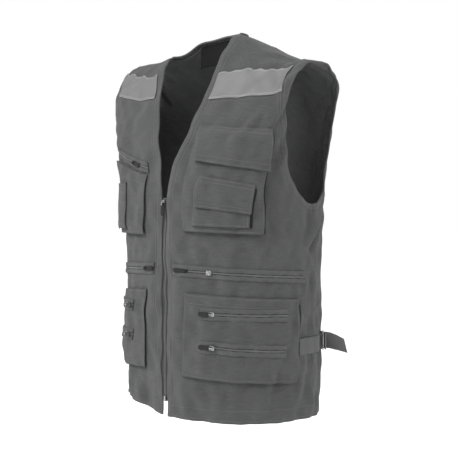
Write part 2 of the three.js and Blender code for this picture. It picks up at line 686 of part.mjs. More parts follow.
// Outer lift of what lies at a place: the named pocket's face, or the panel
function liftBelow(name, place) {
  if (!name) return CLOTH;
  const pocket = pockets[name];
  const { across, up } = placeOnPatch(pocket.corners, place);
  if (across < 0 || across > 1 || up < 0 || up > 1) return liftBelow(pocket.on, place);
  return pocket.base(place) + pocketLift(pocket, across, up) + POCKET_CLOTH;
}
// Columns of a pocket or flap: close at its two edges and even between them
function acrossShares(size) {
  const count = Math.ceil((size.outer - size.inner) / COLUMN_WIDTH);
  const middle = evenShares(count).map((share) => THREE.MathUtils.lerp(EDGE_SHARE, 1 - EDGE_SHARE, share));
  return [0, ...middle, 1];
}
const CARRIED_BY = { small_pocket_left: 'chest_pocket_left', pen_pocket_right: 'chest_pocket_right' };
for (const [name, size] of Object.entries(POCKETS)) {
  const side = name.endsWith('left') ? 1 : -1;
  const on = CARRIED_BY[name];
  const corners = patch(size, side);
  const base = (place) => liftBelow(on, place) + STACK_GAP;
  pockets[name] = { corners, base, bulge: size.bulge, on };
  const grid = POCKET_UP.map((up) => acrossShares(size).map((across) => {
    const place = patchPlace(corners, across, up);
    const inner = base(place) + pocketLift(pockets[name], across, up);
    return { ...place, inner, outer: inner + POCKET_CLOTH };
  }));
  add(name, sheet(grid), 'cloth');
}

// Flaps: sewn along the top, and hanging over the pocket
const FLAP_TURN = 0.3; // share of its height in which a flap comes out over the pocket
for (const [name, size] of Object.entries(FLAPS)) {
  const corners = patch(size, 1);
  const pocket = pockets[size.over];
  const stand = pocket.bulge + POCKET_CLOTH + STACK_GAP;
  const grid = FLAP_UP.map((up) => acrossShares(size).map((across) => {
    const place = patchPlace(corners, across, up);
    const out = stand * THREE.MathUtils.smoothstep(1 - up, 0, FLAP_TURN);
    const inner = liftBelow(pocket.on, place) + STACK_GAP + out;
    return { ...place, inner, outer: inner + FLAP_CLOTH };
  }));
  add(name, sheet(grid), 'cloth');
}

// Zips: a tape strip with its raised teeth, on the panel or on a pocket
const ZIP_STATIONS = 9;
const zips = {};
function zipLift(zip, place) {
  return liftBelow(zip.on, place) + STACK_GAP;
}
for (const [name, zip] of Object.entries(ZIPS)) {
  const start = mirrored(placeAt(zip.from, zip.drop), zip.side);
  const end = mirrored(placeAt(zip.to, zip.dropOut), zip.side);
  zips[name] = { ...zip, start, end };
  const grid = betweenPlaces(start, end, evenShares(ZIP_STATIONS)).map((place) => {
    const { climb } = bodySteps(place.angle, place.rise);
    const rows = [
      { out: -STRIP_WIDTH / 2, raised: 0 },
      { out: -TEETH_WIDTH / 2 - GAP, raised: 0 },
      { out: -TEETH_WIDTH / 2, raised: TEETH_RISE },
      { out: TEETH_WIDTH / 2, raised: TEETH_RISE },
      { out: TEETH_WIDTH / 2 + GAP, raised: 0 },
      { out: STRIP_WIDTH / 2, raised: 0 },
    ];
    return rows.map((row) => {
      const spot = { angle: place.angle, rise: place.rise + row.out / climb.length() };
      const inner = zipLift(zip, spot);
      return { ...spot, inner, outer: inner + STRIP_THICK + row.raised };
    });
  });
  add(name, sheet(grid), 'teeth');
}

// Solid for a join, from a closed geometry
function toSolid(geometry) {
  const bare = geometry.clone();
  bare.deleteAttribute('normal');
  bare.deleteAttribute('uv');
  const merged = mergeVertices(bare, 1e-4);
  return new wasm.Manifold(new wasm.Mesh({
    numProp: 3,
    vertProperties: merged.attributes.position.array,
    triVerts: new Uint32Array(merged.index.array),
  }));
}
function fromSolid(solid) {
  const mesh = solid.getMesh();
  const geometry = new THREE.BufferGeometry();
  geometry.setAttribute('position', new THREE.Float32BufferAttribute(mesh.vertProperties, 3));
  geometry.setIndex(Array.from(mesh.triVerts));
  geometry.computeVertexNormals();
  return geometry;
}
function plate(points, thick, hole) {
  const shape = new THREE.Shape(points.map(([x, y]) => new THREE.Vector2(x, y)));
  if (hole) shape.holes.push(new THREE.Path(hole.map(([x, y]) => new THREE.Vector2(x, y))));
  return new THREE.ExtrudeGeometry(shape, { depth: thick, bevelEnabled: false });
}
const box = (x0, x1, y0, y1) => [[x0, y0], [x1, y0], [x1, y1], [x0, y1]];

// Slider: a tapered body with an arch over it that holds the pull's bar. Its pull points along
// +X and the arch stands up along +Z. The body's underside is at z 0.
const ARCH_SINK = 0.5;
const BAR_HEIGHT = SLIDER_THICK + (ARCH_HEIGHT - ARCH_BAR) / 2; // pull's bar above the underside
function sliderGeometry() {
  const half = SLIDER_LENGTH / 2;
  const wide = SLIDER_WIDTH / 2;
  const body = plate([
    [-half, -wide * 0.7], [-half * 0.5, -wide], [half * 0.7, -wide], [half * 0.75, -wide * 0.4],
    [half * 0.75, wide * 0.4], [half * 0.7, wide], [-half * 0.5, wide], [-half, wide * 0.7],
  ], SLIDER_THICK);
  const reach = ARCH_LENGTH / 2;
  const arch = plate([
    [-reach, -ARCH_SINK], [-reach + ARCH_BAR, -ARCH_SINK], [-reach + ARCH_BAR, ARCH_HEIGHT - ARCH_BAR],
    [reach - ARCH_BAR, ARCH_HEIGHT - ARCH_BAR], [reach - ARCH_BAR, -ARCH_SINK], [reach, -ARCH_SINK],
    [reach, ARCH_HEIGHT - 1], [reach - 1, ARCH_HEIGHT], [-reach + 1, ARCH_HEIGHT], [-reach, ARCH_HEIGHT - 1],
  ], ARCH_WIDTH);
  arch.rotateX(Math.PI / 2);
  arch.translate(0, ARCH_WIDTH / 2, SLIDER_THICK);
  return fromSolid(toSolid(body).add(toSolid(arch)));
}
// Pull: a plate whose eye passes round the arch. It turns about its bar, at its origin, along Y.
function pullGeometry() {
  const bar = PULL_THICK / 2;
  const eyeEnd = bar + ARCH_LENGTH / 2 + PULL_ROOM;
  const eyeHalf = ARCH_WIDTH / 2 + PULL_ROOM;
  const neck = eyeHalf + PULL_THICK;
  const wide = PULL_WIDTH / 2;
  const end = PULL_LENGTH - bar;
  const geometry = plate([
    [-bar, -neck], [eyeEnd, -neck], [eyeEnd + 3, -wide], [end - 2, -wide], [end, -wide + 2],
    [end, wide - 2], [end - 2, wide], [eyeEnd + 3, wide], [eyeEnd, neck], [-bar, neck],
  ], PULL_THICK, box(bar, eyeEnd, -eyeHalf, eyeHalf));
  geometry.translate(0, 0, -bar);
  return geometry;
}

// Sets a slider and its pull on a place. The heading is the way the pull points, in angle and rise.
function addSlider(name, pullName, place, lift, heading, tilt = 0) {
  const { turn, climb, normal } = bodySteps(place.angle, place.rise);
  const along = turn.clone().multiplyScalar(heading.angle).addScaledVector(climb, heading.rise).normalize();
  const across = normal.clone().cross(along).normalize();
  const frame = new THREE.Matrix4().makeBasis(along, across, normal);
  const slider = add(name, sliderGeometry(), 'silver');
  slider.position.copy(clothPoint(place.angle, place.rise, lift));
  slider.quaternion.setFromRotationMatrix(frame);
  if (!pullName) return;
  const pull = add(pullName, pullGeometry(), 'pull');
  pull.position.copy(clothPoint(place.angle, place.rise, lift + BAR_HEIGHT));
  pull.quaternion.setFromRotationMatrix(frame);
  pull.rotateY(-tilt);
}
for (const [name, item] of Object.entries(SLIDERS)) {
  const zip = zips[item.zip];
  const share = (item.arc - zip.from) / (zip.to - zip.from);
  const [place] = betweenPlaces(zip.start, zip.end, [share]);
  const lift = zipLift(zip, place) + STRIP_THICK + TEETH_RISE + GAP;
  const heading = { angle: zip.start.angle - zip.end.angle, rise: zip.start.rise - zip.end.rise };
  addSlider(name, item.pull, place, lift, heading);
}
const frontSliderPlace = { angle: 0, rise: riseAtHeight(0, -FRONT_SLIDER_DROP) };
addSlider('zip_slider', 'zip_pull', frontSliderPlace, chainIn + CHAIN_THICK + GAP, { angle: 0, rise: -1 });
const sideArc = POCKETS.chest_pocket_right.outerLow + SIDE_SLIDER.clear;
const sidePlace = mirrored(placeAt(sideArc, SIDE_SLIDER.drop), -1);
addSlider('side_slider_right', 'side_pull_right', sidePlace, SEAT, { angle: 0, rise: -1 }, SIDE_PULL_TILT);

// Reflective tape across each front shoulder, between the two bound edges
const TAPE_CLEAR = 2; // from a band's edge to the tape
const tapeNeckEdge = insetEdge(frontEdge, FRONT_BAND + TAPE_CLEAR, 1, null, 'climb');
const tapeArmEdge = insetEdge(armFront, ARMHOLE_BAND + TAPE_CLEAR, -1, 'turn', 'climb');
function placeAtDrop(edge, drop, side) {
  const heights = edge.map((place) => bodyPoint(place.angle * side, place.rise).z);
  const index = heights.findIndex((height) => height > -drop);
  const share = (-drop - heights[index - 1]) / (heights[index] - heights[index - 1]);
  return betweenPlaces(edge[index - 1], edge[index], [share])[0];
}
const TAPE_COLUMNS = 9;
for (const [name, { side, top, lean }] of Object.entries(REFLECTIVE)) {
  const grid = evenShares(4).map((share) => {
    const drop = top + REFLECT_HEIGHT * (1 - share);
    const start = placeAtDrop(tapeNeckEdge, drop, side);
    const end = placeAtDrop(tapeArmEdge, drop - lean, side);
    const across = betweenPlaces(start, end, evenShares(TAPE_COLUMNS));
    return lifted(across.map((place) => mirrored(place, side)), SEAT, SEAT + REFLECT_THICK);
  });
  add(name, sheet(grid), 'reflective');
}

// Label inside the back neck
const neckSteps = bodySteps(Math.PI, 2 - backFall);
const labelHalf = LABEL_WIDTH / 2 / neckSteps.turn.length();
const labelOut = BAND_IN - STACK_GAP;
add('neck_label', sheet(evenShares(3).map((up) => evenShares(4).map((across) => ({
  angle: Math.PI + THREE.MathUtils.lerp(labelHalf, -labelHalf, across),
  rise: 2 - backFall - (LABEL_DROP + LABEL_HEIGHT * (1 - up)) / neckSteps.climb.length(),
  inner: labelOut - LABEL_THICK,
  outer: labelOut,
})))), 'label');

// Side adjusters: a strap from the front holds the buckle, and the tail from the back passes
// through the buckle and stands free
const strapRise = riseAtHeight(BUCKLE_TURN, STRAP_HEIGHT);
const strapMiddle = SEAT + STRAP_THICK / 2;
// Upright band of cloth along a path seen from above
function webbing(path) {
  const offset = (side) => path.map((spot, index) => {
    const ahead = path[Math.min(index + 1, path.length - 1)];
    const behind = path[Math.max(index - 1, 0)];
    const along = ahead.clone().sub(behind).setZ(0).normalize();
    return new THREE.Vector2(spot.x - along.y * side, spot.y + along.x * side);
  });
  const shape = new THREE.Shape([...offset(STRAP_THICK / 2), ...offset(-STRAP_THICK / 2).reverse()]);
  const geometry = new THREE.ExtrudeGeometry(shape, { depth: STRAP_WIDTH, bevelEnabled: false });
  geometry.translate(0, 0, STRAP_HEIGHT - STRAP_WIDTH / 2);
  return geometry;
}
for (const [word, side] of [['left', 1], ['right', -1]]) {
  const onCloth = (turn) => clothPoint(side * turn, strapRise, strapMiddle);
  const centre = clothPoint(side * BUCKLE_TURN, strapRise, BUCKLE_LIFT);
  const { turn, normal } = bodySteps(side * BUCKLE_TURN, strapRise);
  const along = turn.clone().setZ(0).normalize().multiplyScalar(side);
  const out = normal.clone().setZ(0).normalize();
  const nearBuckle = (t, n) => centre.clone().addScaledVector(along, t).addScaledVector(out, n);
  const start = placeAt(STRAP_START, -STRAP_HEIGHT).angle;
  const bar = BUCKLE_PITCH;
  const bend = STRAP_BEND;
  // Half turns round an outer bar, from under it to over it, on the side of the middle bar
  const bendTo = (t, way, shares) => shares.map((share) => nearBuckle(
    t + way * bend * Math.sin(Math.PI * share),
    -bend * Math.cos(Math.PI * share),
  ));
  const front = evenShares(6).map((share) => onCloth(THREE.MathUtils.lerp(start, BUCKLE_TURN - 0.13, share)));
  add(`side_strap_${word}`, webbing([
    ...front, nearBuckle(-bar - 6, -bend - 0.7), ...bendTo(-bar, 1, evenShares(5)),
    nearBuckle(-bar - 7, bend - 0.8), nearBuckle(-bar - 15, bend - 2),
  ]), 'cloth');
  const back = evenShares(4).map((share) => (
    onCloth(THREE.MathUtils.lerp(BUCKLE_TURN + 0.52, BUCKLE_TURN + 0.14, share))
  ));
  const tail = [0.1, 0.25, 0.45, 0.7, 1].map((share) => (
    nearBuckle(bar - bend + TAIL_SWAY * share ** 2, TAIL_LENGTH * share)
  ));
  add(`side_tail_${word}`, webbing([
    ...back, nearBuckle(bar + 5, -bend - 0.5), ...bendTo(bar, -1, [0, 0.2, 0.4]), ...tail,
  ]), 'cloth');
  const halfBar = BUCKLE_BAR / 2;
  const reach = bar + halfBar;
  const inside = STRAP_WIDTH / 2 + 1.5;
  const outside = inside + BUCKLE_BAR;
  const frame = toSolid(plate([
    [-reach, -outside + 2], [-reach + 2, -outside], [reach - 2, -outside], [reach, -outside + 2],
    [reach, outside - 2], [reach - 2, outside], [-reach + 2, outside], [-reach, outside - 2],
  ], BUCKLE_BAR));
  const slots = [[-bar + halfBar, -halfBar], [halfBar, bar - halfBar]].map(([low, high]) => (
    toSolid(plate(box(low, high, -inside, inside), BUCKLE_BAR * 3).translate(0, 0, -BUCKLE_BAR))
  ));
  const buckle = fromSolid(frame.subtract(slots[0]).subtract(slots[1]));
  buckle.translate(0, 0, -halfBar);
  const mesh = add(`side_buckle_${word}`, buckle, 'silver');
  mesh.position.set(centre.x, centre.y, STRAP_HEIGHT);
  const upright = new THREE.Vector3(0, 0, 1);
  const forward = upright.clone().cross(out);
  mesh.quaternion.setFromRotationMatrix(new THREE.Matrix4().makeBasis(forward, upright, out));
}

export default vest;
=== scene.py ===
"""Utility work vest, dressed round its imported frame. Metres, +Z up, the front faces -Y."""
import json
import math

import bpy
import numpy as np
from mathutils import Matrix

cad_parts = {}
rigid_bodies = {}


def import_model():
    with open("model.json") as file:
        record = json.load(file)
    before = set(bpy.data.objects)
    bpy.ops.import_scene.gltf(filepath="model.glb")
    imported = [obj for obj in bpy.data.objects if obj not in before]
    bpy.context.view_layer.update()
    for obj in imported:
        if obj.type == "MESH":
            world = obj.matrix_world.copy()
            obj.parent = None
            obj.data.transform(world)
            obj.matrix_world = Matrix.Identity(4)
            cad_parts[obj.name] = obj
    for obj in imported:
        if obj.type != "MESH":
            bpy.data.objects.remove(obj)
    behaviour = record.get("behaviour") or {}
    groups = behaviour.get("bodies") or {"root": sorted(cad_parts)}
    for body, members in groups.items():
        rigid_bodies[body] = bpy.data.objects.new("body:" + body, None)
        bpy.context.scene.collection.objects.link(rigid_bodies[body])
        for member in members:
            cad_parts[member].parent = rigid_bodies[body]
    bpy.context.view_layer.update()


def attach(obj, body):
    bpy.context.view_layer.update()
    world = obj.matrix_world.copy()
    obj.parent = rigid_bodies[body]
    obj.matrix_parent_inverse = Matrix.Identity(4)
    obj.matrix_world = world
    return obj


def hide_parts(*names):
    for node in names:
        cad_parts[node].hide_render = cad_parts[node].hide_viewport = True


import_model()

# Camera: a little to the wearer's left of the front and level with the waist. The picture is
# square, and the place aimed at lies slightly left of and above its middle.
CAMERA_TURN = math.radians(41)
CAMERA_RISE = math.radians(0.9)
CAMERA_DISTANCE = 1.89
AIM = np.array((0, 0, -0.345))
PICTURE = 460
AIM_PIXEL = (223.4, 225.7)
METRES_PER_PIXEL = 0.001952
SENSOR = 36
camera_data = bpy.data.cameras.new("camera")
camera_data.sensor_width = SENSOR
camera_data.lens = SENSOR * CAMERA_DISTANCE / (PICTURE * METRES_PER_PIXEL)
camera_data.shift_x = (PICTURE / 2 - AIM_PIXEL[0]) / PICTURE
camera_data.shift_y = (AIM_PIXEL[1] - PICTURE / 2) / PICTURE
camera = bpy.data.objects.new("camera", camera_data)
towards_camera = np.array((
    math.sin(CAMERA_TURN) * math.cos(CAMERA_RISE),
    -math.cos(CAMERA_TURN) * math.cos(CAMERA_RISE),
    math.sin(CAMERA_RISE),
))
camera.location = AIM + towards_camera * CAMERA_DISTANCE
camera.rotation_euler = (math.pi / 2 - CAMERA_RISE, 0, CAMERA_TURN)
bpy.context.collection.objects.link(camera)
bpy.context.scene.camera = camera

# Floor and studio light: a plain pale floor well below the held vest and a bright even room, with
# a small strong lamp in front of the vest and two wide soft ones, beside it and behind it.
FLOOR_DROP = 1.1
FLOOR_SIZE = 60
FLOOR_LOOK = {
    "Base Color": (0.93, 0.93, 0.93, 1),
    "Roughness": 0.9,
    "Emission Color": (1, 1, 1, 1),
    "Emission Strength": 0.2,
}
floor_mesh = bpy.data.meshes.new("floor")
half_floor = FLOOR_SIZE / 2
floor_mesh.from_pydata(
    [(x * half_floor, y * half_floor, -FLOOR_DROP) for x, y in ((-1, -1), (1, -1), (1, 1), (-1, 1))],
    [], [(0, 1, 2, 3)],
)
floor = bpy.data.objects.new("floor", floor_mesh)
bpy.context.collection.objects.link(floor)
floor_finish = bpy.data.materials.new("pale floor")
floor_finish.use_nodes = True
for socket, value in FLOOR_LOOK.items():
    floor_finish.node_tree.nodes["Principled BSDF"].inputs[socket].default_value = value
floor_mesh.materials.append(floor_finish)
world = bpy.data.worlds.new("studio")
world.use_nodes = True
world.node_tree.nodes["Background"].inputs["Color"].default_value = (1, 1, 1, 1)
world.node_tree.nodes["Background"].inputs["Strength"].default_value = 1.0
bpy.context.scene.world = world
bpy.context.scene.view_settings.view_transform = "Standard"
LAMPS = (
    {"turn": 4, "rise": 32, "away": 2.4, "size": 0.9, "power": 45},
    {"turn": 112, "rise": 30, "away": 2.8, "size": 1.8, "power": 16},
    {"turn": 200, "rise": 45, "away": 3.0, "size": 2.0, "power": 26},
)
for number, lamp in enumerate(LAMPS):
    lamp_data = bpy.data.lights.new(f"lamp_{number}", "AREA")
    lamp_data.size = lamp["size"]
    lamp_data.energy = lamp["power"]
    lamp_object = bpy.data.objects.new(f"lamp_{number}", lamp_data)
    turn, rise = math.radians(lamp["turn"]), math.radians(lamp["rise"])
    way = np.array((math.sin(turn) * math.cos(rise), -math.cos(turn) * math.cos(rise), math.sin(rise)))
    lamp_object.location = AIM + way * lamp["away"]
    lamp_object.rotation_euler = (math.pi / 2 - rise, 0, turn)
    bpy.context.collection.objects.link(lamp_object)

# Front panels: grey cotton-polyester twill, cut to the armhole and the V neck, and worn soft.
# Every sewn piece lies on the same body surface, given by an angle round the body from the
# centre front and a rise: 0 at the hem, 1 at the chest line, 2 at the shoulder line.
LENGTH = 0.690
CHEST_DROP = 0.300
CHEST_HALF = 0.191
FRONT_DEPTH = 0.164
BACK_DEPTH = 0.163
HEM_DROOP = 0.009
HEM_HITCH = 0.024
SHOULDER_HALF = 0.226
SHOULDER_FALL = 0.050
SHOULDER_SWING = 0.3
NECK_HALF = 0.085
NECK_FORE = 0.050
NECK_BACK = 0.025
V_DEPTH = 0.293
ARMHOLE_DROP = 0.303
SIDE_TURN = math.radians(100)
EDGE_HALF = 0.006
FRONT_BAND = 0.012
ARMHOLE_BAND = 0.011
CLOTH = 0.002
# Form of the shoulders: how square, how full behind, how flat in front, and how the ridge runs
SHOULDER_SQUARE = 0.36
BACK_FULL = 0.12
FRONT_FLAT = 0.39
RIDGE_REACH = 1.07
RIDGE_SQUARE = 0.45
LEVEL_FALL = 0.6
# Girth of the body from the hem to the chest line, as shares of the sizes at the chest
SECTIONS = {
    "up": (0.0, 0.35, 0.7, 1.0),
    "wide": (0.985, 0.99, 0.99, 1.0),
    "front": (0.985, 1.0, 1.0, 1.0),
    "back": (1.0, 1.0, 0.995, 0.97),
    "square": (0.08, 0.08, 0.09, 0.12),
}
# Shoulder line seen from the front, and the edges of the V neck and the armholes
SHOULDER_LINE = {
    "across": (-1.1, -0.86, -0.376, -0.15, 0, 0.15, 0.376, 0.5, 0.62, 0.79, 1, 1.1),
    "up": (-0.44, -0.38, -0.36, 0.1, 0.2, 0.24, 0.16, -0.06, -0.36, -0.8, -1, -1.08),
}
V_EDGE = {"up": (0, 0.16, 0.37, 0.52, 0.7, 1), "out": (0, 0.15, 0.49, 0.65, 0.81, 1)}
ARMHOLE = {
    "up": (0.0, 0.01, 0.03, 0.08, 0.16, 0.3, 0.45, 0.6, 0.8, 1.0),
    "fore": (1.0, 0.86, 0.75, 0.6, 0.46, 0.33, 0.15, 0.02, 0.0, 0.0),
    "aft": (1.0, 0.68, 0.42, 0.18, 0.04, 0.03, 0.08, 0.15, 0.1, 0.0),
    "closer": (1.0, 1.04, 1.1, 1.16, 1.16, 1.1, 0.92, 0.66, 0.28, 0.0),
}
# Broad folds of the hanging cloth: turn of the ridge and half width in degrees, the rises
# between which it runs, and how far it stands out
FOLDS = (
    {"turn": -24, "width": 9, "low": -0.2, "high": 0.16, "out": 0.005},
    {"turn": -14, "width": 8, "low": -0.2, "high": 0.16, "out": -0.004},
    {"turn": 103, "width": 12, "low": -0.2, "high": 0.26, "out": 0.005},
    {"turn": 128, "width": 14, "low": -0.2, "high": 0.26, "out": -0.004},
    {"turn": -108, "width": 13, "low": -0.2, "high": 0.26, "out": 0.004},
    {"turn": -112, "width": 19, "low": 0.75, "high": 1.95, "out": 0.009},
    {"turn": 166, "width": 20, "low": -0.2, "high": 0.9, "out": -0.005},
    {"turn": -164, "width": 20, "low": -0.2, "high": 0.9, "out": -0.005},
    {"turn": 180, "width": 16, "low": -0.1, "high": 0.8, "out": 0.003},
)
# Creases: from one place to another, with a half width and how far the ridge stands out
CREASES = (
    {"turn": 122, "rise": 0.95, "to_turn": 97, "to_rise": 0.765, "width": 0.0075, "out": -0.0100},
    {"turn": 117, "rise": 0.965, "to_turn": 91, "to_rise": 0.79, "width": 0.0095, "out": 0.0065},
    {"turn": 20, "rise": 0.83, "to_turn": 38, "to_rise": 0.775, "width": 0.007, "out": 0.0016},
    {"turn": 24, "rise": 0.79, "to_turn": 46, "to_rise": 0.735, "width": 0.008, "out": -0.0014},
    {"turn": 52, "rise": 0.80, "to_turn": 66, "to_rise": 0.70, "width": 0.010, "out": 0.0018},
    {"turn": 12, "rise": 0.16, "to_turn": 30, "to_rise": 0.05, "width": 0.016, "out": 0.0026},
    {"turn": 24, "rise": 0.19, "to_turn": 52, "to_rise": 0.09, "width": 0.016, "out": -0.0026},
    {"turn": 40, "rise": 0.21, "to_turn": 66, "to_rise": 0.06, "width": 0.018, "out": 0.0028},
    {"turn": 88, "rise": 0.30, "to_turn": 84, "to_rise": 0.02, "width": 0.014, "out": 0.0030},
    {"turn": -52, "rise": 1.34, "to_turn": -20, "to_rise": 1.14, "width": 0.006, "out": -0.0022},
    {"turn": -56, "rise": 1.30, "to_turn": -26, "to_rise": 1.10, "width": 0.010, "out": 0.0018},
    {"turn": -15, "rise": 0.19, "to_turn": -17, "to_rise": 0.01, "width": 0.011, "out": -0.0065},
    {"turn": -30, "rise": 0.17, "to_turn": -33, "to_rise": 0.01, "width": 0.012, "out": 0.0060},
    {"turn": 8, "rise": 0.93, "to_turn": 22, "to_rise": 1.02, "width": 0.012, "out": 0.0016},
    {"turn": 66, "rise": 1.35, "to_turn": 54, "to_rise": 1.62, "width": 0.014, "out": -0.0024},
    {"turn": 150, "rise": 1.55, "to_turn": 178, "to_rise": 1.30, "width": 0.020, "out": 0.0030},
    {"turn": -148, "rise": 1.50, "to_turn": -176, "to_rise": 1.22, "width": 0.020, "out": 0.0030},
    {"turn": 116, "rise": 1.05, "to_turn": 140, "to_rise": 0.86, "width": 0.016, "out": 0.0030},
    {"turn": -110, "rise": 1.02, "to_turn": -136, "to_rise": 0.84, "width": 0.016, "out": 0.0030},
    {"turn": 134, "rise": 0.40, "to_turn": 172, "to_rise": 0.30, "width": 0.018, "out": 0.0024},
    {"turn": -130, "rise": 0.38, "to_turn": -170, "to_rise": 0.27, "width": 0.018, "out": 0.0024},
)
CREASE_ENDS = (-0.15, 0.3)
FOLD_FADE_HIGH = 0.5
FOLD_FADE_LOW = 0.2
SHOULDER_FADE = 0.12
CENTRE_FADE = 0.03
# Rumples: many low waves at chance headings over the whole vest
RUMPLES = 26
RUMPLE_OUT = 0.00046
RUMPLE_LENGTHS = (0.026, 0.085)


def smooth_step(value, low, high):
    """Smooth rise from 0 at a low value to 1 at a high one."""
    share = np.clip((value - low) / (high - low), 0, 1)
    return share * share * (3 - 2 * share)


def through(table, key, column, at):
    """Smooth curve through the rows of a table."""
    keys, values = np.array(table[key], float), np.array(table[column], float)
    at = np.asarray(at, float)
    slopes = np.empty(len(keys))
    for row in range(len(keys)):
        before, after = max(row - 1, 0), min(row + 1, len(keys) - 1)
        slopes[row] = (values[after] - values[before]) / (keys[after] - keys[before])
    low = np.clip(np.searchsorted(keys, at, side="left") - 1, 0, len(keys) - 2)
    width = keys[low + 1] - keys[low]
    t = np.clip((at - keys[low]) / width, 0, 1)
    start = (1 + 2 * t) * (1 - t) ** 2 * values[low] + t * (1 - t) ** 2 * width * slopes[low]
    end = t * t * (3 - 2 * t) * values[low + 1] - t * t * (1 - t) * width * slopes[low + 1]
    return start + end


def body_point(angle, rise):
    """Point of the smooth worn shape at an angle round the body and a rise."""
    angle, rise = np.broadcast_arrays(np.asarray(angle, float), np.asarray(rise, float))
    up = np.clip(rise, 0, 1)
    bend = np.maximum(rise - 1, 0) * math.pi / 2
    sine, cosine = np.sin(angle), np.cos(angle)
    full = BACK_FULL - FRONT_FLAT * np.maximum(cosine, 0) ** 2
    along = np.cos(bend) * (1 + full * np.sin(bend) ** 2)
    above = np.sin(bend) * (1 + full * np.cos(bend) ** 2)
    square = through(SECTIONS, "up", "square", up)
    square = square + (SHOULDER_SQUARE - square) * np.sin(bend)
    front = FRONT_DEPTH * through(SECTIONS, "up", "front", up)
    back = BACK_DEPTH * through(SECTIONS, "up", "back", up)
    depth = np.where(cosine > 0, front, back)
    x = CHEST_HALF * through(SECTIONS, "up", "wide", up) * sine * (1 + square * cosine ** 2)
    y = -depth * cosine * (1 + square * sine ** 2)
    right = np.maximum(-sine, 0)
    hitch = HEM_HITCH * right * (2 - right) * (1 - up) ** 2
    droop = HEM_DROOP * np.abs(np.sin(angle / 2)) * (1 - up) ** 2
    z = -LENGTH + (LENGTH - CHEST_DROP) * up - droop + hitch
    ridge_x = SHOULDER_HALF * RIDGE_REACH * sine * (1 + RIDGE_SQUARE * cosine ** 2)
    ridge_y = -NECK_FORE + SHOULDER_SWING * np.maximum(np.abs(ridge_x) - NECK_HALF, 0)
    ridge_z = SHOULDER_FALL * through(SHOULDER_LINE, "across", "up", ridge_x / SHOULDER_HALF)
    level_z = -SHOULDER_FALL * LEVEL_FALL * np.abs(ridge_x / SHOULDER_HALF)
    spread = np.maximum(along, 0) ** 4
    above_x = ridge_x + (x - ridge_x) * spread
    above_y = ridge_y + (y - ridge_y) * along
    above_z = z + (level_z - z) * above + (ridge_z - level_z) * np.maximum(above, 0) ** 3
    low = rise <= 1
    return np.stack([np.where(low, x, above_x), np.where(low, y, above_y), np.where(low, z, above_z)], -1)


def body_steps(angle, rise):
    """How the point moves with the angle and with the rise, and the way out of the surface."""
    reach = 1e-4
    turn = (body_point(angle + reach, rise) - body_point(angle - reach, rise)) / (2 * reach)
    low = np.minimum(rise, 2 - reach) - reach
    climb = (body_point(angle, low + 2 * reach) - body_point(angle, low)) / (2 * reach)
    normal = np.cross(turn, climb)
    return turn, climb, normal / np.linalg.norm(normal, axis=-1, keepdims=True)


def flat_place(degrees, rise):
    """Place on the flat cloth, in metres round the chest and up from the hem."""
    return np.array((math.radians(degrees) * CHEST_HALF, rise * (LENGTH - CHEST_DROP)))


def drape(angle, rise):
    """How far the folds, creases and rumples push the cloth out of its smooth shape."""
    out = np.zeros(np.broadcast(angle, rise).shape)
    degrees = np.degrees(angle)
    for fold in FOLDS:
        away = np.mod(degrees - fold["turn"] + 180, 360) - 180
        across = np.where(np.abs(away) < fold["width"], np.cos(math.pi / 2 * away / fold["width"]) ** 2, 0)
        up = (rise - fold["low"]) / (fold["high"] - fold["low"])
        fade = smooth_step(1 - up, 0, FOLD_FADE_HIGH) * smooth_step(up, 0, FOLD_FADE_LOW)
        out = out + fold["out"] * across * fade
    at_shoulder = smooth_step(2 - rise, 0, SHOULDER_FADE)
    flat_u = (np.mod(angle + math.pi, 2 * math.pi) - math.pi) * CHEST_HALF
    flat_v = rise * (LENGTH - CHEST_DROP)
    for crease in CREASES:
        start = flat_place(crease["turn"], crease["rise"])
        way = flat_place(crease["to_turn"], crease["to_rise"]) - start
        reach = np.linalg.norm(way)
        way = way / reach
        du, dv = flat_u - start[0], flat_v - start[1]
        along = (du * way[0] + dv * way[1]) / reach
        aside = (du * way[1] - dv * way[0]) / crease["width"]
        fade = smooth_step(along, *CREASE_ENDS) * smooth_step(1 - along, *CREASE_ENDS)
        out = out + crease["out"] * np.exp(-aside ** 2) * fade * at_shoulder
    chance = np.random.default_rng(7)
    for _ in range(RUMPLES):
        heading = chance.normal(0, 0.5)
        length = chance.uniform(*RUMPLE_LENGTHS)
        phase = chance.uniform(0, 2 * math.pi)
        wave = (flat_u * math.cos(heading) + flat_v * math.sin(heading)) / length
        centre_fade = smooth_step(math.pi * CHEST_HALF - np.abs(flat_u), 0, CENTRE_FADE)
        out = out + RUMPLE_OUT * np.sin(2 * math.pi * wave + phase) * centre_fade * at_shoulder
    return out


def cloth_point(angle, rise, lift):
    """Point at a height above the body surface with its folds."""
    normal = body_steps(angle, rise)[2]
    return body_point(angle, rise) + normal * (np.asarray(lift) + drape(angle, rise))[..., None]


HALVINGS = 40


def meet(low, high, target, measure):
    """Unknown between two limits at which a rising measure meets its target."""
    target = np.asarray(target, float)
    below, above = np.full(target.shape, float(low)), np.full(target.shape, float(high))
    for _ in range(HALVINGS):
        middle = (below + above) / 2
        short = measure(middle) < target
        below, above = np.where(short, middle, below), np.where(short, above, middle)
    return (below + above) / 2


def turn_at_half(rise, half):
    """Angle at which the surface is a given half width out from the middle."""
    half = np.broadcast_to(half, np.shape(rise))
    return meet(0, math.pi / 2, half, lambda angle: body_point(angle, rise)[..., 0])


def rise_at_height(angle, height):
    height = np.broadcast_to(height, np.shape(angle))
    return meet(0, 2, height, lambda rise: body_point(angle, rise)[..., 2])


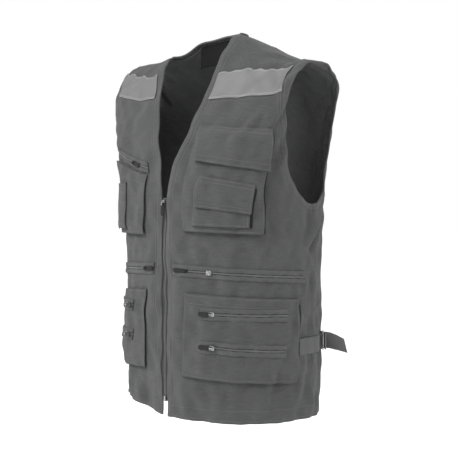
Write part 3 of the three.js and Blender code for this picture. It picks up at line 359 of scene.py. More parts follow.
def smooth_path(knots, count):
    """Evenly spaced places on a centripetal curve through knots."""
    knots = np.array(knots, float)
    ends = np.vstack([2 * knots[0] - knots[1], knots, 2 * knots[-1] - knots[-2]])
    fine = []
    for i in range(1, len(ends) - 2):
        a, b, c, d = ends[i - 1:i + 3]
        t1 = np.linalg.norm(b - a) ** 0.5
        t2 = t1 + np.linalg.norm(c - b) ** 0.5
        t3 = t2 + np.linalg.norm(d - c) ** 0.5
        t = np.linspace(t1, t2, 40, endpoint=False)[:, None]
        ab = a + (b - a) * t / t1
        bc = b + (c - b) * (t - t1) / (t2 - t1)
        cd = c + (d - c) * (t - t2) / (t3 - t2)
        abc = ab + (bc - ab) * t / t2
        bcd = bc + (cd - bc) * (t - t1) / (t3 - t1)
        fine.append(abc + (bcd - abc) * (t - t1) / (t2 - t1))
    fine = np.vstack(fine + [knots[-1:]])
    length = np.concatenate([[0], np.cumsum(np.linalg.norm(np.diff(fine, axis=0), axis=1))])
    at = np.linspace(0, length[-1], count)
    return np.stack([np.interp(at, length, fine[:, k]) for k in range(2)], -1)


def inset_edge(edge, distance, hand, first=None, last=None):
    """Edge of places moved into the panel by a distance."""
    turn, climb, normal = body_steps(edge[:, 0], edge[:, 1])
    points = body_point(edge[:, 0], edge[:, 1])
    row = np.arange(len(edge))
    ahead, behind = np.minimum(row + 1, len(edge) - 1), np.maximum(row - 1, 0)
    along = points[ahead] - points[behind]
    for index, step in ((0, first), (-1, last)):
        if step is not None:
            way = (turn if step == "turn" else climb)[index]
            along[index] = way * np.sign(along[index] @ way)
    inward = np.cross(along, normal)
    inward *= hand * distance / np.linalg.norm(inward, axis=1, keepdims=True)
    tt, tc, cc = (turn * turn).sum(1), (turn * climb).sum(1), (climb * climb).sum(1)
    ti, ci = (turn * inward).sum(1), (climb * inward).sum(1)
    area = tt * cc - tc * tc
    return np.stack([edge[:, 0] + (ti * cc - ci * tc) / area, edge[:, 1] + (ci * tt - ti * tc) / area], -1)


v_rise = float(rise_at_height(0.0, -V_DEPTH))
under_rise = float(rise_at_height(SIDE_TURN, -ARMHOLE_DROP))
neck_turn = float(turn_at_half(2.0, NECK_HALF))
tip_turn = float(turn_at_half(2.0, SHOULDER_HALF))
LOWER_ROWS = 84
UPPER_ROWS = 72


def armhole_edge(column, tip):
    """Half of an armhole's edge, from the side up to the shoulder's tip."""
    shares = zip(ARMHOLE[column], ARMHOLE["up"])
    knots = [(tip + (SIDE_TURN - tip) * out, under_rise + (2 - under_rise) * up) for out, up in shares]
    return smooth_path(knots, UPPER_ROWS + 1)


arm_front = armhole_edge("fore", tip_turn)
arm_back = {1: armhole_edge("aft", math.pi - tip_turn), -1: armhole_edge("closer", math.pi - tip_turn)}
TUCK_UNDER = 0.004
panel_arm = inset_edge(arm_front, ARMHOLE_BAND - TUCK_UNDER, -1, "turn", "climb")
panel_arm[-1, 1] = 2
panel_low = panel_arm[0, 1]
lower_rises = np.linspace(0, panel_low, LOWER_ROWS, endpoint=False)
front_rises = np.concatenate([lower_rises, np.linspace(panel_low, 2, UPPER_ROWS + 1)])


def front_edge_at(rises):
    """Front edge of the left panel: beside the zip, then out along the V neck."""
    foot = turn_at_half(np.minimum(rises, v_rise), EDGE_HALF)
    out = through(V_EDGE, "up", "out", np.clip((rises - v_rise) / (2 - v_rise), 0, 1))
    return np.stack([np.where(rises <= v_rise, foot, foot + (neck_turn - foot) * out), rises], -1)


front_edge = front_edge_at(front_rises)
panel_edge = inset_edge(front_edge, FRONT_BAND - TUCK_UNDER, 1, None, "climb")
panel_edge[0, 1], panel_edge[-1, 1] = 0, 2


class Value:
    """One output of a node, with Python's operators as Math nodes."""

    def __init__(self, finish, socket):
        self.finish, self.socket = finish, socket

    def _math(self, operation, *others):
        return self.finish.node("ShaderNodeMath", {"operation": operation}, dict(enumerate(others)))

    def __add__(self, other):
        return self._math("ADD", self, other)

    __radd__ = __add__

    def __sub__(self, other):
        return self._math("SUBTRACT", self, other)

    def __rsub__(self, other):
        return self._math("SUBTRACT", other, self)

    def __mul__(self, other):
        return self._math("MULTIPLY", self, other)

    __rmul__ = __mul__

    def wave(self):
        return self._math("SINE", self)

    def below(self, limit):
        return self._math("LESS_THAN", self, limit)

    def size(self):
        return self._math("ABSOLUTE", self)

    def least(self, other):
        return self._math("MINIMUM", self, other)

    def most(self, other):
        return self._math("MAXIMUM", self, other)


class Finish:
    """A material of the vest and its nodes."""

    def __init__(self, name):
        self.material = bpy.data.materials.new(name)
        self.material.use_nodes = True
        self.tree = self.material.node_tree
        self.shader = self.tree.nodes["Principled BSDF"]

    def node(self, kind, settings=None, sockets=None, output=0):
        made = self.tree.nodes.new(kind)
        for name, value in (settings or {}).items():
            setattr(made, name, value)
        for name, value in (sockets or {}).items():
            self.feed(made.inputs[name], value)
        return Value(self, made.outputs[output])

    def feed(self, socket, value):
        if isinstance(value, Value):
            self.tree.links.new(value.socket, socket)
        else:
            socket.default_value = value

    def set(self, **sockets):
        for name, value in sockets.items():
            self.feed(self.shader.inputs[name.replace("_", " ")], value)

    def blend(self, factor, start, end):
        """Colour between two colours."""
        return self.node("ShaderNodeMix", {"data_type": "RGBA"}, {0: factor, 6: start, 7: end}, output=2)

    def noise(self, size, detail=3, rough=0.55):
        place = self.node("ShaderNodeTexCoord", output=3)
        return self.node("ShaderNodeTexNoise", None, {
            "Vector": place, "Scale": 1 / size, "Detail": detail, "Roughness": rough,
        })

    def flat(self):
        """Place on the flat cloth, across and up, in metres."""
        place = self.node("ShaderNodeUVMap", {"uv_map": "cloth"})
        across = self.node("ShaderNodeSeparateXYZ", None, {0: place}, output=0)
        return across, Value(self, across.socket.node.outputs[1])

    def bump(self, height, distance, strength):
        sockets = {"Height": height, "Distance": distance, "Strength": strength}
        return self.node("ShaderNodeBump", None, sockets)


def rgb(grey, warmth=0.0):
    """Colour of a grey, warmer or, below zero, cooler."""
    return (grey * (1 + warmth), grey, grey * (1 - warmth), 1)


TWILL_SPREAD = 0.26
TWILL_CRUSH = 6.0


def twill(name, grey, pitch=0.0011, rough=0.93, sheen=0.1):
    """Woven twill: fine slanting ribs, slubs in the yarn and a slightly uneven dye."""
    finish = Finish(name)
    across, up = finish.flat()
    rib = ((across + up) * (2 * math.pi / pitch)).wave()
    yarn = ((across - up * 0.35) * (2 * math.pi / (pitch * 0.7))).wave()
    slub = finish.noise(0.004, 2)
    dye = finish.noise(0.05, 4, 0.6)
    spread_flat = finish.node("ShaderNodeCombineXYZ", None, {0: across * 40, 1: up * 620})
    streak = finish.node("ShaderNodeTexNoise", None, {"Vector": spread_flat, "Scale": 1.0, "Detail": 3})
    tone = rib * 0.10 + yarn * 0.06 + 0.5 + (slub - 0.5) * 0.4 + (dye - 0.5) * 0.8 + (streak - 0.5) * 1.1
    tone = tone.most(0).least(1)
    slanted = {0: across * 24 + up * 9, 1: up * 52 - across * 8}
    crease_flat = finish.node("ShaderNodeCombineXYZ", None, slanted)
    crumple = finish.node("ShaderNodeTexNoise", None, {
        "Vector": crease_flat, "Scale": 1.0, "Detail": 4, "Roughness": 0.5, "Distortion": 0.7,
    })
    ridge = ((crumple - 0.5).size() * 4).least(1)
    dark, pale = rgb(grey * (1 - TWILL_SPREAD), -0.01), rgb(grey * (1 + TWILL_SPREAD), -0.01)
    relief = rib * 0.5 + yarn * 0.3 + slub * 1.2 + streak * 1.2 + ridge * TWILL_CRUSH
    finish.set(
        Base_Color=finish.blend(tone, dark, pale),
        Roughness=finish.noise(0.02) * 0.1 + (rough - 0.05),
        Normal=finish.bump(relief, 0.00026, 0.9),
    )
    finish.shader.inputs["Sheen Weight"].default_value = sheen
    finish.shader.inputs["Sheen Roughness"].default_value = 0.5
    finish.shader.inputs["Specular IOR Level"].default_value = 0.25
    return finish.material


cloth_finish = twill("grey twill", 0.059)
# The inner faces take a copy of the same twill made lighter than the outer face, as painted light in the dim
# inside of the vest
inside_painted_light_finish = twill("twill inside, painted light", 0.078, rough=0.97, sheen=0.0)


def make_piece(name, vertices, faces, finishes, flat=None, face_finish=None, smooth=True):
    """Mesh object from arrays. The flat places of the vertices, in metres, carry the weave."""
    mesh = bpy.data.meshes.new(name)
    mesh.from_pydata(np.asarray(vertices).tolist(), [], faces)
    for finish in finishes:
        mesh.materials.append(finish)
    if face_finish is not None:
        mesh.polygons.foreach_set("material_index", np.asarray(face_finish, np.int32))
    if smooth:
        mesh.polygons.foreach_set("use_smooth", np.ones(len(mesh.polygons), bool))
    if flat is not None:
        corner = np.empty(len(mesh.loops), np.int32)
        mesh.loops.foreach_get("vertex_index", corner)
        layer = mesh.uv_layers.new(name="cloth")
        layer.data.foreach_set("uv", np.asarray(flat, np.float32)[corner].ravel())
    mesh.update()
    made = bpy.data.objects.new(name, mesh)
    bpy.context.collection.objects.link(made)
    return made


def grid_normals(points, ring=False):
    """Ways out of a sheet at each of its points."""
    if ring:
        down = np.roll(points, -1, 0) - np.roll(points, 1, 0)
    else:
        down = np.gradient(points, axis=0)
    side = np.gradient(points, axis=1)
    normal = np.cross(side, down)
    return normal / np.maximum(np.linalg.norm(normal, axis=-1, keepdims=True), 1e-9)


RIM_ROUND = 0.45


def sewn_sheet(name, points, thick, finishes, ring=False, inside=0):
    """Sheet of cloth whose outer face passes through a grid of points: rows, then columns.
    Its rim is rounded. The outer face looks along across x up."""
    rows, columns = points.shape[:2]
    normal = grid_normals(points, ring)
    inner = points - normal * thick
    tall = np.linalg.norm(np.diff(points[:, columns // 2], axis=0), axis=1)
    flat_v = np.concatenate([[0], np.cumsum(tall)])
    wide = np.linalg.norm(np.diff(points, axis=1), axis=2)
    flat_u = np.concatenate([np.zeros((rows, 1)), np.cumsum(wide, 1)], 1)
    flat_u = flat_u - flat_u[:, columns // 2:columns // 2 + 1]
    flat = np.stack([flat_u, np.broadcast_to(flat_v[:, None], (rows, columns))], -1).reshape(-1, 2)
    vertices = [points.reshape(-1, 3), inner.reshape(-1, 3)]
    index = np.arange(rows * columns).reshape(rows, columns)
    if ring:
        index = np.vstack([index, index[:1]])
    a, b, c, d = index[:-1, :-1], index[:-1, 1:], index[1:, 1:], index[1:, :-1]
    outer_faces = np.stack([a, b, c, d], -1).reshape(-1, 4)
    whole_face = rows * columns
    faces = [outer_faces, outer_faces[:, ::-1] + whole_face]
    count = [len(outer_faces), len(outer_faces)]
    if ring:
        rims = [index[:, 0][::-1], index[:, -1]]
    else:
        rims = [np.concatenate([index[0, :], index[1:, -1], index[-1, -2::-1], index[-2::-1, 0]])]
    rim_base = 2 * whole_face
    flats = [flat, flat]
    for rim in rims:
        places = rim[:-1]
        middle = (points.reshape(-1, 3)[places] + inner.reshape(-1, 3)[places]) / 2
        ahead, behind = np.roll(middle, -1, 0), np.roll(middle, 1, 0)
        outward = np.cross(ahead - behind, normal.reshape(-1, 3)[places])
        outward /= np.maximum(np.linalg.norm(outward, axis=1, keepdims=True), 1e-9)
        vertices.append(middle + outward * thick * RIM_ROUND)
        flats.append(flat[places])
        here = np.arange(len(places))
        there = np.roll(here, -1)
        outer_loop, inner_loop, mid_loop = places, places + whole_face, rim_base + here
        faces.append(np.stack([outer_loop[there], outer_loop[here], mid_loop[here], mid_loop[there]], -1))
        faces.append(np.stack([mid_loop[there], mid_loop[here], inner_loop[here], inner_loop[there]], -1))
        count += [len(places), len(places)]
        rim_base += len(places)
    kinds = np.concatenate([np.full(n, inside if k == 1 else 0) for k, n in enumerate(count)])
    return make_piece(name, np.vstack(vertices), np.vstack(faces).tolist(), finishes, np.vstack(flats), kinds)


def sewn(piece, slot, *nodes):
    """Fixes a piece to the vest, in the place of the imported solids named."""
    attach(piece, "vest")
    if nodes:
        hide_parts(*nodes)
    return piece


def declare(piece, points):
    """Sums the area of the piece's own outer face; the sum is not used."""
    across, up = points[:, 1:] - points[:, :-1], points[1:] - points[:-1]
    area = np.linalg.norm(np.cross(across[:-1], up[:, :-1]), axis=-1).sum() / 2
    area += np.linalg.norm(np.cross(across[1:], up[:, 1:]), axis=-1).sum() / 2


def between(start, end, shares):
    """Grid of places from one edge to another, a column for each share."""
    shares = np.asarray(shares)[None, :, None]
    return start[:, None] * (1 - shares) + end[:, None] * shares


def sided(places, side):
    """Places for one side of the body, with their columns running so that the outer face looks out."""
    places = places * np.array((side, 1))
    return places if side > 0 else places[:, ::-1]


panel_side = np.concatenate([
    np.stack([np.full(LOWER_ROWS, SIDE_TURN), lower_rises], -1),
    [(SIDE_TURN, panel_low)],
    panel_arm[1:],
])
FRONT_COLUMNS = 74
for name, side in (("front_left", 1), ("front_right", -1)):
    places = sided(between(panel_edge, panel_side, np.linspace(0, 1, FRONT_COLUMNS + 1)), side)
    points = cloth_point(places[..., 0], places[..., 1], CLOTH)
    piece = sewn_sheet(name + "_cloth", points, CLOTH, [cloth_finish, inside_painted_light_finish], inside=1)
    declare(sewn(piece, "cloth", name), points)

# Back panel: one plain piece of the same twill, cut to a shallow back neck and joined to the
# fronts along the sides and the shoulders. Its columns fan out from the hem to neck and shoulders.
neck_fall = float(meet(0, 1, NECK_BACK - NECK_FORE, lambda fall: body_point(math.pi, 2 - fall)[..., 1]))
BACK_NECK = {"across": (0, 0.12, 0.4, 0.7, 1), "drop": (0, 0.4, 0.8, 0.97, 1)}
NECK_COLUMNS = 26
SHOULDER_COLUMNS = 26
neck_back = smooth_path(
    [(math.pi - neck_turn * (1 - across), 2 - neck_fall * drop)
     for across, drop in zip(BACK_NECK["across"], BACK_NECK["drop"])], NECK_COLUMNS + 1)
front_band_inner = inset_edge(front_edge, FRONT_BAND, 1, None, "climb")


def neck_inset(distance):
    """Back neck edge moved into the panel, up to where the front's own edge meets it."""
    inset = inset_edge(neck_back, distance, 1, "climb", "turn")
    inset[0] = (math.pi - inset_edge(front_edge, distance, 1, None, "climb")[-1, 0], 2)
    return inset


def whole(half):
    """Left half of an edge with its mirror image on the right."""
    return np.vstack([half, (half * (-1, 1) + (2 * math.pi, 0))[-2::-1]])


arm_inset = ARMHOLE_BAND - TUCK_UNDER
back_panel = {side: inset_edge(arm_back[side], arm_inset, 1, "turn", "climb") for side in (1, -1)}
back_panel[-1][-1] = back_panel[1][-1]
panel_neck = neck_inset(FRONT_BAND - TUCK_UNDER)
tip = np.array((back_panel[1][-1, 0], 2.0))
shoulder = tip + (panel_neck[0] - tip) * np.linspace(0, 1, SHOULDER_COLUMNS, endpoint=False)[:, None]
back_top = whole(np.vstack([shoulder, panel_neck]))
back_columns = (back_top[:, 0] - tip[0]) / (2 * (math.pi - tip[0]))
back_sides = {}
for side in (1, -1):
    lower = np.stack([np.full(LOWER_ROWS, SIDE_TURN), lower_rises], -1)
    edge = back_panel[side].copy()
    edge[0], edge[-1] = (SIDE_TURN, panel_low), tip
    back_sides[side] = np.vstack([lower, edge])
inward = 1 - np.abs(2 * back_columns - 1)
even = np.concatenate([np.zeros(LOWER_ROWS), np.linspace(0, 1, UPPER_ROWS + 1)])[:, None]
side_rise = np.where(back_columns[None] < 0.5, back_sides[1][:, 1:2], back_sides[-1][:, 1:2])
side_climb = np.maximum(side_rise - panel_low, 0) / (2 - panel_low)
beside = side_rise + side_climb * (back_top[None, :, 1] - 2)
at_centre = np.where(side_rise < panel_low, side_rise, panel_low + (back_top[None, :, 1] - panel_low) * even)
back_rise = beside + (at_centre - beside) * inward
left_angle, right_angle = back_sides[1][:, :1], 2 * math.pi - back_sides[-1][:, :1]
back_angle = left_angle + (right_angle - left_angle) * back_columns
back_points = cloth_point(back_angle, back_rise, CLOTH)
piece = sewn_sheet("back_cloth", back_points, CLOTH, [cloth_finish, inside_painted_light_finish], inside=1)
declare(sewn(piece, "cloth", "back"), back_points)

# Bound edges: a finer twill tape, folded over the front edges, the back neck and the armholes and
# sewn through, so that it stands a little over the panels and is rounded along both its edges.
BAND_OUT = 0.0026
BAND_THICK = 0.0031
BAND_ROUND = {
    "share": np.array((0, 0.04, 0.12, 0.3, 0.5, 0.7, 0.88, 0.96, 1)),
    "drop": np.array((0.0011, 0.0005, 0.0001, 0, 0, 0, 0.0001, 0.0006, 0.0013)),
}
band_finish = twill("binding tape", 0.068, pitch=0.0009)


def bound(name, edge, inset, slot, node, side=1, ring=False):
    """Binding between an edge and its inset line."""
    places = sided(between(edge, inset, BAND_ROUND["share"]), side)
    drop = BAND_ROUND["drop"] if side > 0 else BAND_ROUND["drop"][::-1]
    points = cloth_point(places[..., 0], places[..., 1], BAND_OUT - drop[None, :])
    return sewn(sewn_sheet(name, points, BAND_THICK, [band_finish], ring=ring), slot, node)


band_inner = front_band_inner.copy()
band_inner[0, 1], band_inner[-1, 1] = 0, 2
for name, side in (("front_band_left", 1), ("front_band_right", -1)):
    bound(name + "_tape", front_edge, band_inner, "band", name, side)
neck_outer = whole(neck_back)
neck_inner = whole(neck_inset(FRONT_BAND))
bound("neck_band_tape", neck_outer[::-1], neck_inner[::-1], "band", "neck_band")
for name, side in (("armhole_band_left", 1), ("armhole_band_right", -1)):
    fore, aft = arm_front.copy(), arm_back[side]
    fore_in = inset_edge(fore, ARMHOLE_BAND, -1, "turn", "climb")
    aft_in = inset_edge(aft, ARMHOLE_BAND, 1, "turn", "climb")
    fore[-1, 1] = fore_in[-1, 1] = 2
    edge = np.vstack([fore, aft[-2:0:-1]])
    inset = np.vstack([fore_in, aft_in[-2:0:-1]])
    bound(name + "_tape", inset, edge, "band", name, side, ring=True)


# Pockets: patch pockets of the same twill with a bellows edge, so that the face stands over a recess at its
# sides and foot, and a near-black strip beside its outer edge is painted shade.
# The pen pocket and the small pocket sit on a larger one.
SEAT = 0.0028
STACK_GAP = 0.0008
SEAM_RAISE = 0.0004
POCKET_CLOTH = 0.0017
POCKET_WALL = 0.6
# Patches: arcs from the centre front to the inner and the outer edge, at the top and at the foot,
# and drops of the top and the foot below the neck point, at the inner and at the outer corner.
# A pocket also has how far its filled face stands out.
PATCH = ("inner", "inner_low", "outer", "outer_low", "top", "top_out", "foot", "foot_out", "full")
POCKET_ROWS = {
    "chest_pocket_left": (0.060, 0.048, 0.214, 0.193, 0.186, 0.192, 0.352, 0.358, 0.010),
    "small_pocket_left": (0.077, 0.072, 0.172, 0.167, 0.268, 0.277, 0.342, 0.346, 0.0035),
    "lower_pocket_left": (0.051, 0.045, 0.271, 0.262, 0.463, 0.476, 0.612, 0.626, 0.008),
    "chest_pocket_right": (0.046, 0.048, 0.156, 0.160, 0.250, 0.218, 0.360, 0.356, 0.009),
    "pen_pocket_right": (0.103, 0.098, 0.143, 0.141, 0.262, 0.262, 0.350, 0.346, 0.003),
    "lower_pocket_right": (0.048, 0.046, 0.271, 0.262, 0.463, 0.482, 0.614, 0.640, 0.006),
}
POCKETS = {name: dict(zip(PATCH, row)) for name, row in POCKET_ROWS.items()}
SHALLOW = 0.005
POCKET_FILL = {"up": (0, 0.05, 0.2, 0.5, 0.8, 0.95, 1), "full": (0, 0.86, 1, 0.8, 0.5, 0.25, 0)}
ON_POCKET = {"small_pocket_left": "chest_pocket_left", "pen_pocket_right": "chest_pocket_right"}


def arc_to(angle, rise):
    """Length along the surface from the centre front to an angle, at one rise."""
    shares = np.linspace(0, 1, 37)
    points = body_point(np.asarray(angle)[..., None] * shares, np.asarray(rise)[..., None])
    return np.linalg.norm(np.diff(points, axis=-2), axis=-1).sum(-1)


def place_at(arc, drop, side=1):
    """Place at an arc from the centre front and a drop below the neck point."""
    rise = np.ones(1)
    for _ in range(12):
        angle = meet(0, SIDE_TURN * 1.6, np.full(1, arc), lambda turn: arc_to(turn, rise))
        rise = rise_at_height(angle, np.full(1, -drop))
    return np.array((side * angle[0], rise[0]))


def patch(row, side):
    """Corner places of a patch: top inner, top outer, foot inner, foot outer."""
    tops = ((row["inner"], row["top"]), (row["outer"], row["top_out"]))
    feet = ((row["inner_low"], row["foot"]), (row["outer_low"], row["foot_out"]))
    return [place_at(arc, drop, side) for arc, drop in tops + feet]


def on_patch(corners, across, up):
    """Place at shares across and up a patch."""
    top_in, top_out, foot_in, foot_out = corners
    across, up = np.asarray(across)[..., None], np.asarray(up)[..., None]
    foot, top = foot_in + (foot_out - foot_in) * across, top_in + (top_out - top_in) * across
    return foot + (top - foot) * up


def shares_on(corners, place):
    """Shares across and up a patch at which a place lies."""
    top_in, top_out, foot_in, foot_out = corners
    across = np.full(place.shape[:-1], 0.5)
    for _ in range(12):
        foot = foot_in + (foot_out - foot_in) * across[..., None]
        top = top_in + (top_out - top_in) * across[..., None]
        up = (place[..., 1] - foot[..., 1]) / (top[..., 1] - foot[..., 1])
        inner = foot_in + (top_in - foot_in) * up[..., None]
        outer = foot_out + (top_out - foot_out) * up[..., None]
        across = (place[..., 0] - inner[..., 0]) / (outer[..., 0] - inner[..., 0])
    return across, up


pocket_corners = {name: patch(row, 1 if name.endswith("left") else -1) for name, row in POCKETS.items()}


def pocket_swell(name, across, up):
    """How far the filled pocket stands out, fullest below its middle."""
    edge = 1 - np.abs(2 * np.clip(across, 0, 1) - 1) ** 9
    return POCKETS[name]["full"] * through(POCKET_FILL, "up", "full", np.clip(up, 0, 1)) * edge


def lift_below(name, place):
    """Height of the cloth at a place: the named pocket's face, or the panel."""
    if name is None:
        return np.full(place.shape[:-1], CLOTH)
    across, up = shares_on(pocket_corners[name], place)
    on = ON_POCKET.get(name)
    face = lift_below(on, place) + STACK_GAP + POCKET_CLOTH + pocket_swell(name, across, up)
    inside = (across >= 0) & (across <= 1) & (up >= 0) & (up <= 1)
    return np.where(inside, face, lift_below(on, place))


# Turned edges, from the rim inwards: distance from the patch's edge, and how far the face is raised
GUSSET = {
    "away": (0.0042, 0.0036, 0.0022, 0.0004, 0.0, 0.0006, 0.0022),
    "raised": (0.0, 0.35, 0.62, 0.80, 0.90, 0.97, 1.0),
}
NARROW_GUSSET = {"away": [away * 0.35 for away in GUSSET["away"]], "raised": GUSSET["raised"]}
MOUTH = {"away": (0.0, 0.0004, 0.0012), "raised": (0.55, 0.8, 1.0)}


PATCH_STEP = 0.004


def edge_shares(wide, start, end):
    """Shares across a patch with a turned profile at both edges, and how far each is raised."""
    lead = [(away / wide, raised) for away, raised in zip(start["away"], start["raised"])]
    tail = [(1 - away / wide, raised) for away, raised in zip(end["away"], end["raised"])][::-1]
    count = max(int((tail[0][0] - lead[-1][0]) * wide / PATCH_STEP), 4)
    middle = [(share, 1.0) for share in np.linspace(lead[-1][0], tail[0][0], count)[1:-1]]
    return np.array(lead + middle + tail)


PUFF_WAVES = 9


def pocket_puff(across, up, seed, out):
    """Soft swellings of a pocket's face between its stitched edges."""
    chance = np.random.default_rng(seed)
    inside = np.clip(4 * across * (1 - across), 0, 1) * np.clip(4 * up * (1 - up), 0, 1)
    puff = np.zeros(np.broadcast(across, up).shape)
    for _ in range(PUFF_WAVES):
        heading = chance.uniform(-0.9, 0.9)
        length = chance.uniform(0.25, 0.8)
        wave = (across * math.cos(heading) + up * math.sin(heading)) / length
        puff += np.sin(2 * math.pi * wave + chance.uniform(0, 6))
    return out * puff / 4 * inside ** 0.6


POCKET_SEED = 40
FULL_ACROSS = (0.035, 0.965)
FULL_UP = (0.05, 0.97)
LEAST_SWELL = 0.0010
FULL_PUFF = 0.0012
SHALLOW_PUFF = 0.0004


def pocket_face(name, places, across, up, raised):
    """Height of a pocket's face over the panel, with its turned edges raised by a share."""
    swell = pocket_swell(name, np.clip(across, *FULL_ACROSS), np.clip(up, *FULL_UP))
    base = lift_below(ON_POCKET.get(name), places) + STACK_GAP + SEAM_RAISE
    out = base + POCKET_CLOTH * np.minimum(raised * 3, 1) + np.maximum(swell, LEAST_SWELL) * raised
    most = FULL_PUFF if POCKETS[name]["full"] > SHALLOW else SHALLOW_PUFF
    return out + pocket_puff(across, up, POCKET_SEED + list(POCKETS).index(name), most) * (raised >= 1)


# Bellows pleat: a strip of near-black twill beside a pocket's outer edge, painted shade where the face
# overhangs the panel
PLEAT = {"away": (-0.004, 0.0014, 0.0040, 0.0048), "lift": (0.0032, 0.0030, 0.0024, 0.0013)}
PLEAT_UPS = np.linspace(0.01, 0.93, 50)
FOLD_THICK = 0.0006


def strip_beside(corners, wide, away, ups):
    """Grid of places along the outer edge of a patch, and its shares up."""
    across, up = np.meshgrid(1 + np.array(away) / wide, ups)
    return on_patch(corners, across, up), up


# Near-black twill for the pleats and the flap sides: painted shade beside the raised edges
pleat_painted_shade_finish = twill("pleat strip, painted shade", 0.010, sheen=0.0)
for name, row in POCKETS.items():
    corners = pocket_corners[name]
    wide, tall = row["outer"] - row["inner"], row["foot"] - row["top"]
    gusset = GUSSET if row["full"] > SHALLOW else NARROW_GUSSET
    columns = edge_shares(wide, gusset, gusset)
    rows = edge_shares(tall, gusset, MOUTH)
    across, up = np.meshgrid(columns[:, 0], rows[:, 0])
    raised = np.minimum(columns[None, :, 1], rows[:, None, 1])
    places = on_patch(corners, across, up)
    out = pocket_face(name, places, across, up, raised)
    if name.endswith("right"):
        places, out = places[:, ::-1], out[:, ::-1]
    points = cloth_point(places[..., 0], places[..., 1], out)
    wall = POCKET_CLOTH * POCKET_WALL
    piece = sewn_sheet(name + "_cloth", points, wall, [cloth_finish, inside_painted_light_finish], inside=1)
    sewn(piece, "cloth", name)
    # Dark strip beside the pocket's outer edge: painted shade
    pleat, _ = strip_beside(corners, wide, PLEAT["away"], PLEAT_UPS)
    pleat_out = lift_below(ON_POCKET.get(name), pleat) + np.array(PLEAT["lift"])
    if name.endswith("right"):
        pleat, pleat_out = pleat[:, ::-1], pleat_out[:, ::-1]
    points = cloth_point(pleat[..., 0], pleat[..., 1], pleat_out)
    sewn(sewn_sheet(name + "_pleat", points, FOLD_THICK, [pleat_painted_shade_finish]), "cloth")

# Flaps: a double layer of the twill with a stitched hem, sewn to the panel or to the pocket below
# it along its top. It hangs over the pocket's mouth, and its free foot waves a little.
FLAP_CLOTH = 0.0022
FLAP_ROWS = {
    "chest_flap_left": (0.067, 0.074, 0.209, 0.202, 0.162, 0.171, 0.230, 0.245),
    "small_flap_left": (0.086, 0.080, 0.178, 0.169, 0.254, 0.268, 0.309, 0.322),
}
FLAPS = {name: dict(zip(PATCH, row)) for name, row in FLAP_ROWS.items()}
OVER_POCKET = {"chest_flap_left": "chest_pocket_left", "small_flap_left": "small_pocket_left"}
flap_corners = {name: patch(row, 1) for name, row in FLAPS.items()}
ROLL = {"away": (0.0, 0.0003, 0.0012), "raised": (0.0, 0.5, 1.0)}
ROLL_DROP = 0.0008
HEM_SHARE = 0.19
HEM_RAISE = 0.0006
FLAP_WAVE = 0.0024
FLAP_SEED = 90
FLAP_PUFF = 0.0009
# Side of a flap, folded in under its outer edge, in near-black twill as painted shade
FLAP_SIDE = {"away": (-0.005, 0.0012, 0.0034, 0.0042), "sunk": (0.0030, 0.0034, 0.0042, 0.0052)}
FLAP_SIDE_UPS = np.linspace(0.03, 0.86, 40)


def flap_lift(name, places, up):
    """Height of a flap over the panel, rising from its seam to clear the full pocket."""
    over = OVER_POCKET[name]
    stand = POCKETS[over]["full"] + POCKET_CLOTH + STACK_GAP
    out = stand * smooth_step(1 - up, 0, 0.3)
    return lift_below(ON_POCKET.get(over), places) + STACK_GAP + out + FLAP_CLOTH


def flap_face(name, places, across, up):
    """Height of a flap's face, with its hem, its puffed cloth and the wave of its foot."""
    number = list(FLAPS).index(name)
    hem = smooth_step(HEM_SHARE - up, 0, 0.03) * HEM_RAISE
    wave = FLAP_WAVE * np.sin(across * math.pi * 2.3 + number) * smooth_step(1 - up, 0.1, 1)
    puff = pocket_puff(across, up, FLAP_SEED + number, FLAP_PUFF)
    return flap_lift(name, places, up) + puff + hem + np.maximum(wave, -HEM_RAISE)


for name, row in FLAPS.items():
    wide, tall = row["outer"] - row["inner"], row["foot"] - row["top"]
    columns, rows = edge_shares(wide, ROLL, ROLL), edge_shares(tall, ROLL, ROLL)
    across, up = np.meshgrid(columns[:, 0], rows[:, 0])
    places = on_patch(flap_corners[name], across, up)
    raised = np.minimum(columns[None, :, 1], rows[:, None, 1])
    out = flap_face(name, places, across, up) - ROLL_DROP * (1 - raised)
    points = cloth_point(places[..., 0], places[..., 1], out)
    piece = sewn_sheet(name + "_cloth", points, FLAP_CLOTH, [cloth_finish])
    declare(sewn(piece, "cloth", name), points)
    fold, fold_up = strip_beside(flap_corners[name], wide, FLAP_SIDE["away"], FLAP_SIDE_UPS)
    fold_out = flap_lift(name, fold, fold_up) - np.array(FLAP_SIDE["sunk"])
    points = cloth_point(fold[..., 0], fold[..., 1], fold_out)
    # The flap's side strip is dark as painted shade under its outer edge
    sewn(sewn_sheet(name + "_side", points, FOLD_THICK, [pleat_painted_shade_finish]), "cloth")

# Zipped openings: two folded lips of the binding twill over a dark woven tape, sewn to the panel
# or the pocket above and below, with a row of moulded plastic teeth between them.
# Rows: arcs to the inner and the outer end, their drops, the pocket that carries it, and its side
ZIPS = {
    "waist_zip_left": (0.022, 0.288, 0.422, 0.437, None, 1),
    "waist_zip_right": (0.022, 0.288, 0.422, 0.437, None, -1),
    "upper_zip_left": (0.084, 0.238, 0.498, 0.503, "lower_pocket_left", 1),
    "lower_zip_left": (0.084, 0.234, 0.556, 0.567, "lower_pocket_left", 1),
    "upper_zip_right": (0.084, 0.238, 0.498, 0.503, "lower_pocket_right", -1),
    "lower_zip_right": (0.084, 0.234, 0.556, 0.567, "lower_pocket_right", -1),
    "chest_zip_right": (0.046, 0.154, 0.237, 0.204, None, -1),
}
